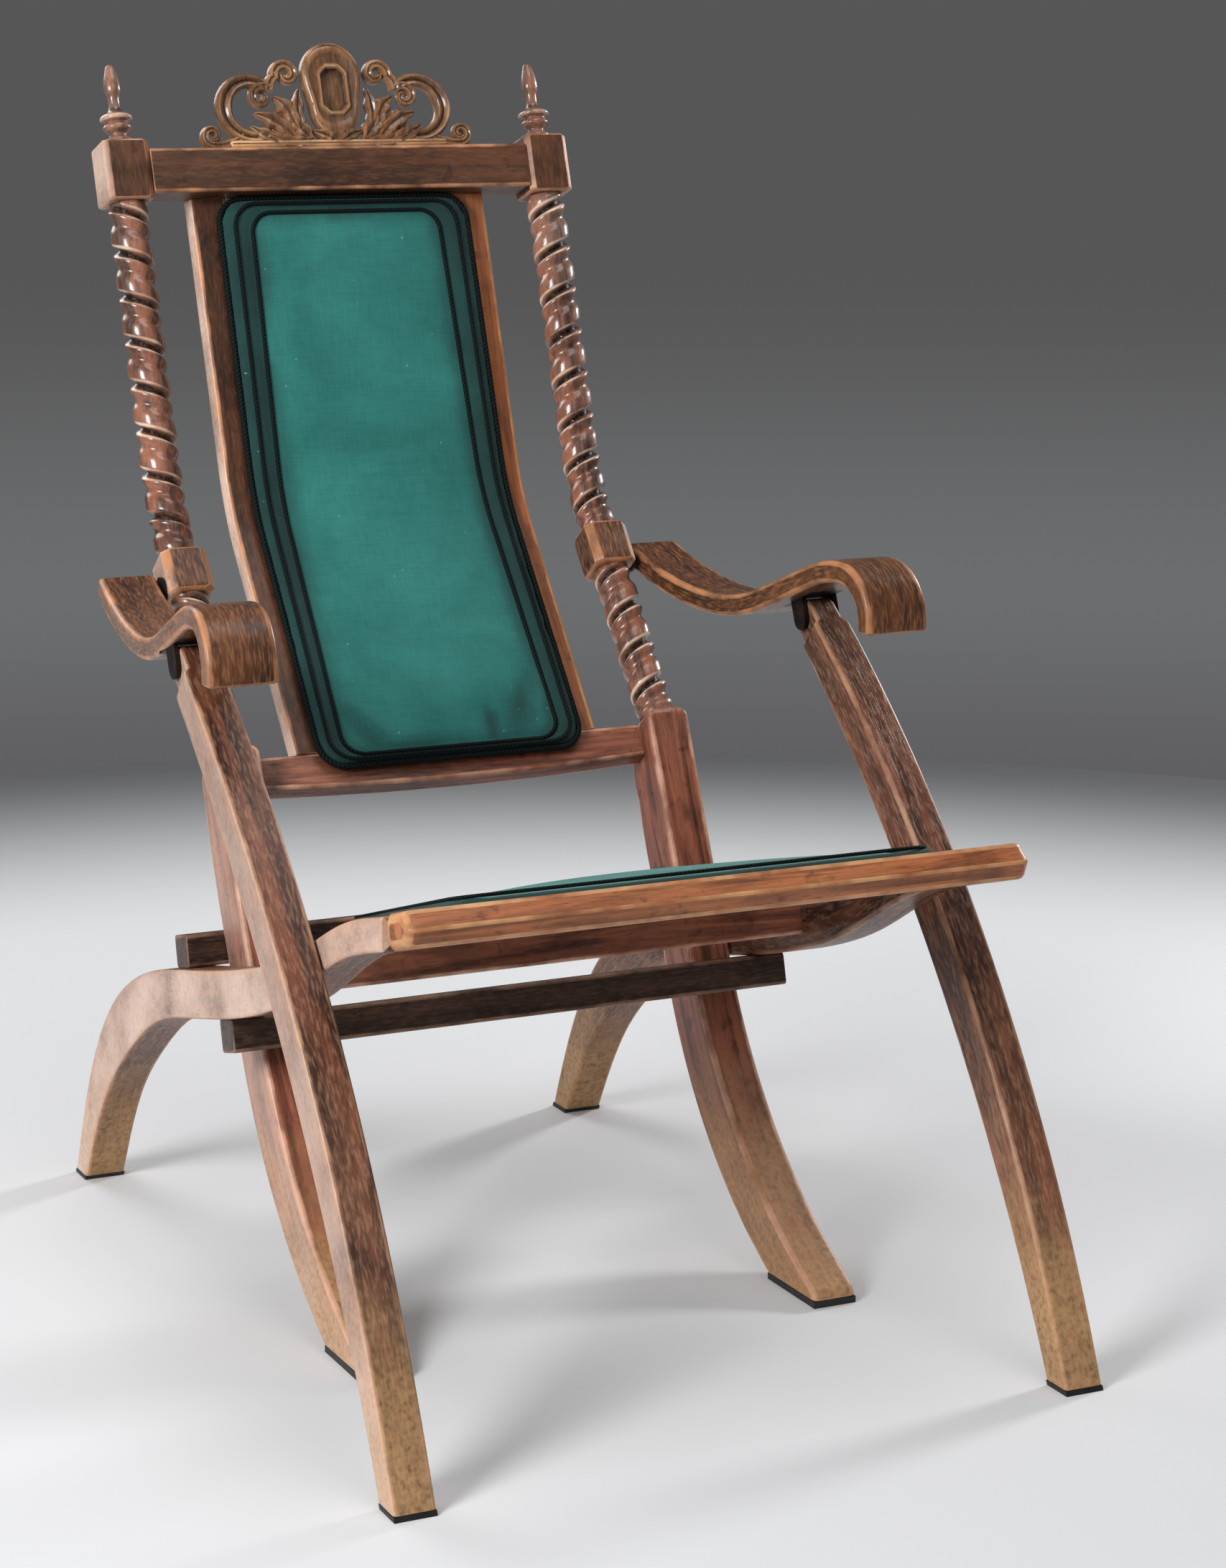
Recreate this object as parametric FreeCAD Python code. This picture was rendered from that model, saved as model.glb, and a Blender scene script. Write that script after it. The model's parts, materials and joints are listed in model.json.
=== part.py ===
import FreeCAD, Part
import math
import os

# Folding armchair. Millimetres, X across, Y from front to back, Z up.
# The origin is on the floor, midway between the foremost and the rearmost foot.
# Side outlines are (y, z) points. The right side is drawn and the left side mirrors it.

V = FreeCAD.Vector

# Spacing across the chair
POST_X = 216.0
POST_WIDTH = 42.0
PIVOT_WASHER = 5.0
MEMBER_WIDTH = 40.0
LEG_GAP = 2.0
LEG_WIDTH = 36.0

# Clearances of running and of fixed fits, and how far a cutter reaches past what it cuts
RUN_GAP = 0.3
FIT = 0.05
CUT_OVER = 1.0

# Back line: the curve that posts, stiles and back pad share, from its foot upwards
BACK_FOOT = (169.2, 473.2)
LOWER_LEAN = 38.7
LOWER_RUN = 222.0
BEND_RADIUS = 220.0
UPPER_LEAN = 18.4
UPPER_RUN = 288.0

# Post
TWIST_DIAMETER = 38.0
HEAD_SHOULDER = 3.5
HEAD_BLOCK_HEIGHT = 62.0
ARM_SHOULDER = 3.0
ARM_BLOCK_HEIGHT = 46.0
ARM_BLOCK_RISE = 187.0
BLOCK_CHAMFER = 5.0
FLAT_DEPTH = 52.0
FLAT_SWELL = 5.2
SABRE_FRONT = [(66.0, 296.0), (-21.0, 145.0), (-191.0, 14.0)]
SABRE_REAR = [(124.0, 293.0), (44.0, 130.0), (-106.0, 6.0)]
SABRE_TOE = -195.0
SABRE_PAD = 6.0

# Finial: height above the head block and radius
FINIAL_SHAPE = [(0, 15), (6, 15), (10, 8), (14, 9), (21, 15), (29, 8), (33, 7), (44, 11), (56, 7)]
FINIAL_TIP = 71.0

# Back frame
TOP_RAIL_HEIGHT = 43.0
TOP_RAIL_LAP = 11.0
TOP_RAIL_SETBACK = 1.5
TOP_RAIL_DROP = 6.0
BOTTOM_RAIL_HEIGHT = 38.0
BOTTOM_RAIL_DEPTH = 22.0
BOTTOM_RAIL_DROP = 22.0
STILE_GAP = 43.0
STILE_WIDTH = 37.0
STILE_DEPTH = 20.0
STILE_SETBACK = 4.0
CREST_THICK = 18.0
CREST_HALF_WIDTH = 143.0
CREST_BASE = 10.0
CREST_HEIGHT = 102.0
CARTOUCHE_WIDTH = 64.0
RECESS_WIDTH = 30.0
RECESS_HEIGHT = 43.0
RECESS_DEPTH = 5.0
SCROLL_X = 83.0
SCROLL_RADIUS = 32.0
SCROLL_EYE = 18.0
VOLUTE_RADIUS = 15.0
VOLUTE_EYE = 6.0
LEAF_RADIUS = 14.0

# Back pad: its sections lie at shares of each run of the back line, and its ends are thinned to a share
PAD_INSET = 21.0
PAD_EDGE = 9.0
PAD_CROWN = 9.0
PAD_OVERLAP = 14.0
PAD_SECTIONS = ((0.0, 0.06, 0.4, 0.8), (0.0, 0.5, 1.0), (0.15, 0.55, 0.95, 1.0))
PAD_END = 0.55
BINDING = 5.0
CLOTH = 3.0

# Stretchers: the heights between which each meets the post, and how deep the post is let into it
STRETCHER_INSET = 9.0
STRETCHER_DEPTH = 34.0
STRETCHER_HEIGHT = 30.0
FRONT_STRETCHER_HEIGHTS = (235.0, 262.0)
FRONT_STRETCHER_LET_IN = 9.0
REAR_STRETCHER_HEIGHTS = (290.0, 310.0)
REAR_STRETCHER_LET_IN = 6.0

# Seat member: upper and lower edge of seat rail and rear leg
MEMBER_TOP = [(-364, 449), (-285, 427), (-150, 366), (-63, 337), (100, 296), (232, 262), (345, 200),
              (417, 112), (471, 0)]
MEMBER_UNDER = [(-364, 420), (-270, 391), (-163, 334), (-60, 293), (100, 251), (209, 219), (290, 171),
                (364, 110), (440, 0)]
X_PIVOT = (95.0, 275.0)
LEG_PIVOT = (-216.0, 379.0)
REAR_PAD = 4.0

# Seat
FRONT_RAIL_DEPTH = 48.0
FRONT_RAIL_THICK = 30.0
FRONT_RAIL_ROUND = 9.0
FRONT_RAIL_INSET = 5.0
SEAT_SLOPE = 16.0
REAR_RAIL_DEPTH = 24.0
REAR_RAIL_HEIGHT = 40.0
REAR_RAIL_FRONT = -66.0
SEAT_PAD_MEMBER_GAP = 16.0
SEAT_PAD_POST_GAP = 9.0
SEAT_PAD_LENGTH = 358.0
SEAT_PAD_EDGE = 12.0
SEAT_PAD_CROWN = 14.0
SEAT_PAD_SECTIONS = (0.0, 0.08, 0.5, 0.92, 1.0)
SEAT_PAD_END = 0.6
STRAPS = 4
STRAP_WIDTH = 50.0
STRAP_THICK = 2.5
STRAP_DROP = 13.5

# Arm
ARM_THICK = 20.0
ARM_TAIL = 16.0
ARM_DIP = 19.6
ARM_REAR_RADIUS = 420.0
ARM_SAG_RADIUS = 250.0
ARM_RISE = 21.0
ARM_STRAIGHT = 87.8
ARM_CREST_RADIUS = 131.0
ARM_SCROLL_RADIUS = 42.0
ARM_SCROLL_DROP = 8.0
ARM_PIVOT_FORE = -1.0
ARM_PIVOT_UP = -10.8
ARM_WASHER = 3.0
ARM_REAR_WIDTH = 53.0
ARM_FRONT_WIDTH = 62.0
ARM_SPLAY = 36.0

# Front leg
LEG_FOOT = (-471.0, -440.0)
LEG_FRONT_BOW = (-284.0, 327.0)
LEG_REAR_BOW = (-250.0, 303.0)
LEG_TOP_RADIUS = 17.0
LEG_TOP_LEAN = 52.0
LEG_PAD = 4.0
HINGE_BACK = 31.0
LUG_THICK = 4.0
LUG_RADIUS = 11.0
PLATE_LENGTH = 60.0
PLATE_THICK = 2.0
SCREW_RADIUS = 2.2
SCREW_LENGTH = 12.0
SCREW_OUT = 22.0

# Hardware: a bolt is its radius, the radius of its head and the thickness of its head
PIVOT_BOLT = (5.0, 9.0, 4.0)
ARM_BOLT = (4.0, 7.0, 3.0)
BOLT_BITE = 33.0
HINGE_PIN = 3.5
WASHER_RIM = 9.0
STUD_RADIUS = 6.0
DOWEL_RADIUS = 5.0
DOWEL_BITE = 18.0
STRETCHER_DOWEL = 27.0


def add(p, q, scale=1.0):
    return (p[0] + q[0] * scale, p[1] + q[1] * scale)


def ray(degrees):
    """Unit (y, z) direction at an angle from +Y towards +Z."""
    return (math.cos(math.radians(degrees)), math.sin(math.radians(degrees)))


def left_of(direction):
    return (-direction[1], direction[0])


def at(p, x=0.0):
    return V(x, p[0], p[1])


def line(p, q):
    return Part.LineSegment(at(p), at(q)).toShape()


def arc(p, q, r):
    return Part.Arc(at(p), at(q), at(r)).toShape()


def spline(points):
    curve = Part.BSplineCurve()
    curve.interpolate([at(p) for p in points])
    return curve


def slab(edges, x0, x1):
    """Side outline pulled out across the chair from x0 to x1."""
    face = Part.Face(Part.Wire(edges))
    face.translate(V(x0, 0, 0))
    return face.extrude(V(x1 - x0, 0, 0))


def polygon(points):
    return [line(p, q) for p, q in zip(points, points[1:] + points[:1])]


def rod(p, x0, x1, radius):
    """Round bar across the chair."""
    return Part.makeCylinder(radius, x1 - x0, at(p, x0), V(1, 0, 0))


def mirrored(shape):
    return shape.mirror(V(0, 0, 0), V(1, 0, 0))


def both(shape):
    return [shape, mirrored(shape)]


def trace(start, heading, runs):
    """Path of ("line", length) and ("arc", radius, turn) runs.

    Each run keeps its first, middle and last point, with the left normals there.
    """
    path = []
    p = start
    for run in runs:
        n = left_of(ray(heading))
        if run[0] == "line":
            stations = [(add(p, ray(heading), run[1] * part), n) for part in (0.0, 0.5, 1.0)]
        else:
            side = math.copysign(1.0, run[2])
            centre = add(p, n, side * run[1])
            turns = [left_of(ray(heading + run[2] * part)) for part in (0.0, 0.5, 1.0)]
            stations = [(add(centre, m, -side * run[1]), m) for m in turns]
            heading += run[2]
        path.append((run[0], stations))
        p = stations[2][0]
    return path


def offset_edges(path, offset):
    edges = []
    for kind, stations in path:
        p, q, r = [add(point, normal, offset) for point, normal in stations]
        edges.append(line(p, r) if kind == "line" else arc(p, q, r))
    return edges


def ribbon(path, low, high):
    """Closed outline between two offsets of a path."""
    first, last = path[0][1][0], path[-1][1][2]
    ends = [line(add(p, n, low), add(p, n, high)) for p, n in (first, last)]
    edges = offset_edges(path, low) + offset_edges(path, high) + ends
    return Part.__sortEdges__(edges)


def box_on(centre, lean, along, deep, x0, x1):
    """Box with its long side leaning back from the vertical."""
    up = ray(90.0 - lean)
    fore = left_of(up)
    corners = []
    for a, f in ((-1, -1), (1, -1), (1, 1), (-1, 1)):
        corners.append(add(add(centre, up, a * along / 2), fore, f * deep / 2))
    return slab(polygon(corners), x0, x1)


def parted(leg, height):
    """A leg cut off at a height above the floor, and the pad under it."""
    size = leg.BoundBox
    corner = V(size.XMin - CUT_OVER, size.YMin - CUT_OVER, 0)
    floor = Part.makeBox(size.XLength + 2 * CUT_OVER, size.YLength + 2 * CUT_OVER, height, corner)
    return leg.cut(floor), leg.common(floor)


def y_on(curve, y):
    """Height and slope in degrees of a side curve at a given y."""
    low, high = curve.FirstParameter, curve.LastParameter
    for _ in range(60):
        middle = (low + high) / 2
        if curve.value(middle).y < y:
            low = middle
        else:
            high = middle
    tangent = curve.tangent(low)[0]
    return curve.value(low).z, math.degrees(math.atan2(tangent.z, tangent.y))


# Places worked out from the sizes
back_heading = 90.0 - LOWER_LEAN
back_turn = LOWER_LEAN - UPPER_LEAN
back_line = trace(BACK_FOOT, back_heading,
                  [("line", LOWER_RUN), ("arc", BEND_RADIUS, back_turn), ("line", UPPER_RUN)])
head = back_line[-1][1][2][0]
head_up = ray(90.0 - UPPER_LEAN)
rail_mid = add(head, head_up, -TOP_RAIL_DROP)
low_up = ray(back_heading)
low_fore = left_of(low_up)
arm_block = add(BACK_FOOT, low_up, ARM_BLOCK_RISE)
arm_pivot = add(add(arm_block, low_up, ARM_PIVOT_UP), low_fore, ARM_PIVOT_FORE)
head_block = TWIST_DIAMETER + 2 * HEAD_SHOULDER
arm_block_wide = TWIST_DIAMETER + 2 * ARM_SHOULDER
post_in = POST_X - POST_WIDTH / 2
post_out = POST_X + POST_WIDTH / 2
member_in = post_out + PIVOT_WASHER
member_out = member_in + MEMBER_WIDTH
leg_in = member_out + LEG_GAP
leg_out = leg_in + LEG_WIDTH
block_in = POST_X - arm_block_wide / 2
block_out = POST_X + arm_block_wide / 2
arm_in = block_out + ARM_WASHER
stile_out = post_in - STILE_GAP
stile_in = stile_out - STILE_WIDTH
pad_half = stile_out - PAD_INSET
stretcher_half = member_out - STRETCHER_INSET
seat_half_front = member_in - SEAT_PAD_MEMBER_GAP
seat_half_rear = post_in - SEAT_PAD_POST_GAP
member_top = spline(MEMBER_TOP)
member_under = spline(MEMBER_UNDER)

arm_runs = [("line", ARM_TAIL), ("arc", ARM_REAR_RADIUS, -ARM_DIP), ("arc", ARM_SAG_RADIUS, -ARM_RISE),
            ("line", ARM_STRAIGHT), ("arc", ARM_CREST_RADIUS, ARM_RISE), ("arc", ARM_SCROLL_RADIUS, 90.0),
            ("line", ARM_SCROLL_DROP)]
arm_heading = 180.0 + ARM_DIP
arm_line = trace(add(arm_pivot, ray(arm_heading), -ARM_TAIL), arm_heading, arm_runs)
slope_along = ray(180.0 - ARM_RISE)
slope_down = left_of(slope_along)
hinge_seat = add(add(arm_line[3][1][0][0], slope_along, HINGE_BACK), slope_down, ARM_THICK / 2)
hinge_drop = LEG_TOP_RADIUS + 2 * RUN_GAP
hinge = add(hinge_seat, slope_down, hinge_drop)


def post():
    """Right post: head block, round shaft, arm block and flat, then the sabre foot."""
    shaft_radius = TWIST_DIAMETER / 2
    pieces = []
    for kind, stations in back_line:
        p, n = stations[0]
        along = (n[1], -n[0])
        if kind == "line":
            run = math.dist(p, stations[2][0])
            pieces.append(Part.makeCylinder(shaft_radius, run, at(p, POST_X), at(along)))
        else:
            ring = Part.Face(Part.Wire(Part.makeCircle(shaft_radius, at(p, POST_X), at(along))))
            pieces.append(ring.revolve(at(add(p, n, BEND_RADIUS)), V(1, 0, 0), back_turn))
    half = head_block / 2
    block = box_on(head, UPPER_LEAN, HEAD_BLOCK_HEIGHT, head_block, POST_X - half, POST_X + half)
    up = at(head_up)
    tall = [e for e in block.Edges if abs(e.tangentAt(e.FirstParameter).dot(up)) > 0.99]
    pieces.append(block.makeChamfer(BLOCK_CHAMFER, tall))
    pieces.append(box_on(arm_block, LOWER_LEAN, ARM_BLOCK_HEIGHT, arm_block_wide, block_in, block_out))
    fore_top = add(BACK_FOOT, low_fore, FLAT_DEPTH / 2)
    rear_top = add(BACK_FOOT, low_fore, -FLAT_DEPTH / 2)
    swell = ((rear_top[0] + SABRE_REAR[0][0]) / 2 + FLAT_SWELL, (rear_top[1] + SABRE_REAR[0][1]) / 2)
    toe = (SABRE_TOE, SABRE_PAD)
    heel = SABRE_REAR[2]
    flat = [line(rear_top, fore_top), line(fore_top, SABRE_FRONT[0]), arc(*SABRE_FRONT),
            line(SABRE_FRONT[2], toe), line(toe, heel), arc(*SABRE_REAR[::-1]),
            arc(SABRE_REAR[0], swell, rear_top)]
    pieces.append(slab(flat, post_in, post_out))
    return pieces[0].multiFuse(pieces[1:]).removeSplitter()


def finial():
    base = HEAD_BLOCK_HEIGHT / 2
    outline = [V(r, 0, h) for h, r in FINIAL_SHAPE]
    curve = Part.BSplineCurve()
    curve.interpolate(outline[1:] + [V(0, 0, FINIAL_TIP)])
    edges = [Part.LineSegment(V(0, 0, 0), outline[0]).toShape(),
             Part.LineSegment(outline[0], outline[1]).toShape(),
             curve.toShape(),
             Part.LineSegment(V(0, 0, FINIAL_TIP), V(0, 0, 0)).toShape()]
    turned = Part.Face(Part.Wire(edges)).revolve(V(0, 0, 0), V(0, 0, 1), 360)
    turned.rotate(V(0, 0, 0), V(1, 0, 0), -UPPER_LEAN)
    turned.translate(at(add(head, head_up, base), POST_X))
    return turned


def on_head(shape):
    """Place a shape drawn in X and Z, facing -Y, on the leaning head of the back."""
    shape.rotate(V(0, 0, 0), V(1, 0, 0), -UPPER_LEAN)
    shape.translate(at(rail_mid))
    return shape


rail_face = head_block / 2 - TOP_RAIL_SETBACK
rail_depth = rail_face + STILE_SETBACK + TOP_RAIL_LAP
rail_end = POST_X - head_block / 2


def top_rail():
    """Rail between the head blocks, deep enough to lap over the tops of the stiles."""
    corner = V(-rail_end, -rail_face, -TOP_RAIL_HEIGHT / 2)
    return on_head(Part.makeBox(2 * rail_end, rail_depth, TOP_RAIL_HEIGHT, corner))


def crest():
    """Pierced crest: arched cartouche between two scroll rings, with leaf eyes and end volutes."""
    y0 = -rail_face
    floor = TOP_RAIL_HEIGHT / 2

    def disc(x, z, radius):
        return Part.makeCylinder(radius, CREST_THICK, V(x, y0, floor + z), V(0, 1, 0))

    base = Part.makeBox(2 * CREST_HALF_WIDTH, CREST_THICK, CREST_BASE, V(-CREST_HALF_WIDTH, y0, floor))
    half = CARTOUCHE_WIDTH / 2
    pillar = Part.makeBox(CARTOUCHE_WIDTH, CREST_THICK, CREST_HEIGHT - half, V(-half, y0, floor))
    pieces = [base, pillar, disc(0, CREST_HEIGHT - half, half)]
    scroll_z = CREST_BASE / 2 + SCROLL_RADIUS
    holes = []
    for side in (-1, 1):
        pieces.append(disc(side * SCROLL_X, scroll_z, SCROLL_RADIUS))
        holes.append(disc(side * SCROLL_X, scroll_z, SCROLL_EYE))
        pieces.append(disc(side * (half + LEAF_RADIUS / 2), scroll_z + SCROLL_RADIUS, LEAF_RADIUS))
        volute_x = side * (CREST_HALF_WIDTH - VOLUTE_RADIUS)
        pieces.append(disc(volute_x, VOLUTE_RADIUS, VOLUTE_RADIUS))
        holes.append(disc(volute_x, VOLUTE_RADIUS, VOLUTE_EYE))
    corner = V(-RECESS_WIDTH / 2, y0, floor + (CREST_HEIGHT - RECESS_HEIGHT) / 2)
    holes.append(Part.makeBox(RECESS_WIDTH, RECESS_DEPTH, RECESS_HEIGHT, corner))
    return on_head(pieces[0].multiFuse(pieces[1:]).cut(holes).removeSplitter())


# The stiles run from the bottom rail to the top rail along the back line
bottom_rail_back = STILE_SETBACK + BOTTOM_RAIL_DEPTH / 2
bottom_rail_mid = add(add(BACK_FOOT, low_up, -BOTTOM_RAIL_DROP), low_fore, -bottom_rail_back)
stile_foot = add(BACK_FOOT, low_up, BOTTOM_RAIL_HEIGHT / 2 - BOTTOM_RAIL_DROP)
stile_low = LOWER_RUN - BOTTOM_RAIL_HEIGHT / 2 + BOTTOM_RAIL_DROP
stile_high = UPPER_RUN - TOP_RAIL_DROP - TOP_RAIL_HEIGHT / 2
stile_line = trace(stile_foot, back_heading,
                   [("line", stile_low), ("arc", BEND_RADIUS, back_turn), ("line", stile_high)])


def bottom_rail():
    return box_on(bottom_rail_mid, LOWER_LEAN, BOTTOM_RAIL_HEIGHT, BOTTOM_RAIL_DEPTH, -post_in, post_in)


def stile():
    edges = ribbon(stile_line, -STILE_SETBACK - STILE_DEPTH, -STILE_SETBACK)
    return slab(edges, stile_in, stile_out)


def back_cloth():
    edges = ribbon(stile_line, -STILE_SETBACK - CLOTH, -STILE_SETBACK)
    return slab(edges, -stile_in, stile_in)


def pad_section(place, half, edge, crown):
    """Cushion section: flat back, drawn-in sides and a crowned face. place turns (x, height) into a point."""
    shoulder = half - edge / 3
    corners = [place(-half + edge / 2, 0), place(half - edge / 2, 0)]
    right = [corners[1], place(half, edge / 2), place(shoulder, edge)]
    left = [place(-shoulder, edge), place(-half, edge / 2), corners[0]]
    face = Part.Arc(right[2], place(0, edge + crown), left[0])
    return Part.Wire([Part.LineSegment(corners[0], corners[1]).toShape(), Part.Arc(*right).toShape(),
                      face.toShape(), Part.Arc(*left).toShape()])


pad_line = trace(add(stile_foot, low_up, -PAD_OVERLAP), back_heading,
                 [("line", stile_low + PAD_OVERLAP), ("arc", BEND_RADIUS, back_turn),
                  ("line", stile_high - BINDING - 2 * RUN_GAP)])


def along(run, share):
    """Point and left normal a share of the way along one run of the back line."""
    kind, stations = run
    (p, n), _, (r, _) = stations
    if kind == "line":
        return add(p, add(r, p, -1.0), share), n
    centre = add(p, n, BEND_RADIUS)
    normal = ray(math.degrees(math.atan2(n[1], n[0])) + back_turn * share)
    return add(centre, normal, -BEND_RADIUS), normal


def back_pad():
    lift = 2 * RUN_GAP - STILE_SETBACK
    places = [along(run, share) for run, shares in zip(pad_line, PAD_SECTIONS) for share in shares]
    sections = []
    for index, (p, n) in enumerate(places):
        full = PAD_END if index in (0, len(places) - 1) else 1.0

        def place(x, height, p=p, n=n):
            return at(add(p, n, lift + height), x)

        sections.append(pad_section(place, pad_half, PAD_EDGE * full, PAD_CROWN * full))
    return Part.makeLoft(sections, True, False)


def back_binding():
    """Cord border round the pad: two curved sides and two straight ends."""
    low = RUN_GAP - STILE_SETBACK
    inner = pad_half + RUN_GAP
    side = slab(ribbon(pad_line, low, low + BINDING), inner, inner + BINDING)
    ends = []
    for index, heading, sign in ((0, back_heading, -1), (-1, 90.0 - UPPER_LEAN, 1)):
        p, n = pad_line[index][1][0 if sign < 0 else 2]
        middle = add(add(p, ray(heading), sign * (RUN_GAP + BINDING / 2)), n, low + BINDING / 2)
        ends.append(box_on(middle, 90.0 - heading, BINDING, BINDING, -inner, inner))
    return Part.makeCompound(both(side) + ends)


def post_reach(post_shape, heights):
    """Foremost and rearmost y of a post between two heights."""
    size = post_shape.BoundBox
    corner = V(size.XMin, size.YMin, heights[0])
    layer = Part.makeBox(size.XLength, size.YLength, heights[1] - heights[0], corner)
    reach = post_shape.common(layer).BoundBox
    return reach.YMin, reach.YMax


def stretcher(curve, y, above):
    """Stretcher that lies along the edge of the seat members at y, just clear of them."""
    height, slope = y_on(curve, y)
    up = ray(90.0 + slope)
    sign = 1.0 if above else -1.0
    middle = add((y, height), up, sign * (STRETCHER_HEIGHT / 2 + RUN_GAP))
    bar = box_on(middle, -slope, STRETCHER_HEIGHT, STRETCHER_DEPTH, -stretcher_half, stretcher_half)
    return bar, middle, slope


def stretchers(post_shape):
    """Front stretcher under the seat members and rear one over them, each let over the posts.

    Each comes with the middle of its joint with the post and the direction of its peg there.
    """
    fore = post_reach(post_shape, FRONT_STRETCHER_HEIGHTS)[0] + FRONT_STRETCHER_LET_IN
    rear = post_reach(post_shape, REAR_STRETCHER_HEIGHTS)[1] - REAR_STRETCHER_LET_IN
    made = []
    for curve, face, side in ((member_under, fore, -1.0), (member_top, rear, 1.0)):
        bar, middle, slope = stretcher(curve, face + side * STRETCHER_DEPTH / 2, side > 0)
        joint = add(middle, ray(slope), -side * STRETCHER_DEPTH / 2)
        made.append((bar.cut(both(post_shape)), joint, at(ray(slope))))
    return made


def seat_member():
    """Right seat member: seat rail and rear leg in one timber, and the pad under its foot."""
    edges = [member_top.toShape(), line(MEMBER_TOP[-1], MEMBER_UNDER[-1]), member_under.toShape(),
             line(MEMBER_UNDER[0], MEMBER_TOP[0])]
    return parted(slab(Part.__sortEdges__(edges), member_in, member_out), REAR_PAD)


front_top = MEMBER_TOP[0]
front_under = MEMBER_UNDER[0]
seat_heading = 180.0 - SEAT_SLOPE
seat_fore = ray(seat_heading)
seat_up = ray(90.0 - SEAT_SLOPE)


def front_rail():
    """Board across the front ends of the seat members, its upper front edge rounded."""
    end = member_out - FRONT_RAIL_INSET
    corner = front_under
    fore = add(corner, seat_fore, FRONT_RAIL_DEPTH)
    fore_top = add(fore, seat_up, FRONT_RAIL_THICK)
    back = (corner[0], corner[1] + FRONT_RAIL_THICK / seat_up[1])
    a = add(fore_top, seat_up, -FRONT_RAIL_ROUND)
    b = add(fore_top, seat_fore, -FRONT_RAIL_ROUND)
    centre = add(a, seat_fore, -FRONT_RAIL_ROUND)
    bulge = add(centre, ray(seat_heading - 45.0), FRONT_RAIL_ROUND)
    edges = [line(corner, fore), line(fore, a), arc(a, bulge, b), line(b, back), line(back, corner)]
    return slab(edges, -end, end)


# The straps run straight from the top of the front rail to the rear rail
strap_start = (front_top[0], front_under[1] + FRONT_RAIL_THICK / seat_up[1])
seat_start = STRAP_DROP * math.tan(math.radians(SEAT_SLOPE)) + RUN_GAP
rear_rail_run = (REAR_RAIL_FRONT - strap_start[0]) / -seat_fore[0]


def seat_place(along_seat, height):
    """Point a distance behind the front rail, measured down the seat slope, and a height above the straps."""
    p = add(strap_start, seat_fore, -along_seat)
    return add(p, seat_up, height - STRAP_DROP)


def seat_slab(start, end, low, high, x0, x1):
    """Board that lies along the seat between two distances behind the front rail."""
    corners = [seat_place(start, low), seat_place(end, low), seat_place(end, high), seat_place(start, high)]
    return slab(polygon(corners), x0, x1)


def rear_rail():
    """Rail between the seat members, and the middle of its section."""
    end = rear_rail_run + REAR_RAIL_DEPTH
    rail = seat_slab(rear_rail_run, end, -REAR_RAIL_HEIGHT, 0, -member_in, member_in)
    return rail, seat_place(rear_rail_run + REAR_RAIL_DEPTH / 2, -REAR_RAIL_HEIGHT / 2)


def seat_webbing():
    """Straps at even spacing over the narrow rear of the seat."""
    end = rear_rail_run + REAR_RAIL_DEPTH
    pitch = 2 * seat_half_rear / STRAPS
    straps = []
    for index in range(STRAPS):
        x = (index + 0.5) * pitch - seat_half_rear
        straps.append(seat_slab(seat_start, end, 0, STRAP_THICK, x - STRAP_WIDTH / 2, x + STRAP_WIDTH / 2))
    return Part.makeCompound(straps)


def seat_pad():
    lift = STRAP_THICK + RUN_GAP
    sections = []
    for share in SEAT_PAD_SECTIONS:
        full = SEAT_PAD_END if share in (SEAT_PAD_SECTIONS[0], SEAT_PAD_SECTIONS[-1]) else 1.0
        run = seat_start + SEAT_PAD_LENGTH * share
        half = seat_half_front + (seat_half_rear - seat_half_front) * share

        def place(x, height, run=run):
            return at(seat_place(run, lift + height), x)

        sections.append(pad_section(place, half, SEAT_PAD_EDGE * full, SEAT_PAD_CROWN * full))
    return Part.makeLoft(sections, True, False)


def arm():
    """Right arm: serpentine board in side view, splayed and widening to the front in plan."""
    rear_y = arm_pivot[0] + ARM_TAIL * 2
    front_y = arm_line[-1][1][2][0][0] - ARM_THICK
    front_in = arm_in + ARM_SPLAY
    front_out = front_in + ARM_FRONT_WIDTH
    board = slab(ribbon(arm_line, -ARM_THICK / 2, ARM_THICK / 2), arm_in - CUT_OVER, front_out + CUT_OVER)
    plan = [(arm_in, rear_y), (arm_in + ARM_REAR_WIDTH, rear_y), (front_out, front_y), (front_in, front_y)]
    corners = [V(x, y, board.BoundBox.ZMin - CUT_OVER) for x, y in plan]
    tall = V(0, 0, board.BoundBox.ZLength + 2 * CUT_OVER)
    return board.common(Part.Face(Part.makePolygon(corners + corners[:1])).extrude(tall))


def hinge_local(u, v):
    """Point u forward along the arm's rising underside and v below it, at the leg hinge."""
    return add(add(hinge_seat, slope_along, u), slope_down, v)


def leg_hinge():
    """Iron fork: a plate let into the arm and two lugs that hold the pin."""
    end = PLATE_LENGTH / 2
    plate = [hinge_local(u, v) for u, v in ((-end, -PLATE_THICK), (end, -PLATE_THICK), (end, 0), (-end, 0))]
    lug = [hinge_local(u, v) for u, v in ((-LUG_RADIUS, 0), (-LUG_RADIUS, hinge_drop),
                                           (0, hinge_drop + LUG_RADIUS), (LUG_RADIUS, hinge_drop),
                                           (LUG_RADIUS, 0))]
    lug_edges = [line(lug[0], lug[1]), arc(*lug[1:4]), line(lug[3], lug[4]), line(lug[4], lug[0])]
    plate_solid = slab(polygon(plate), leg_in, leg_out)
    lugs = [slab(lug_edges, x, x + LUG_THICK) for x in (leg_in, leg_out - LUG_THICK)]
    return plate_solid.multiFuse(lugs).removeSplitter(), plate_solid


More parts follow.
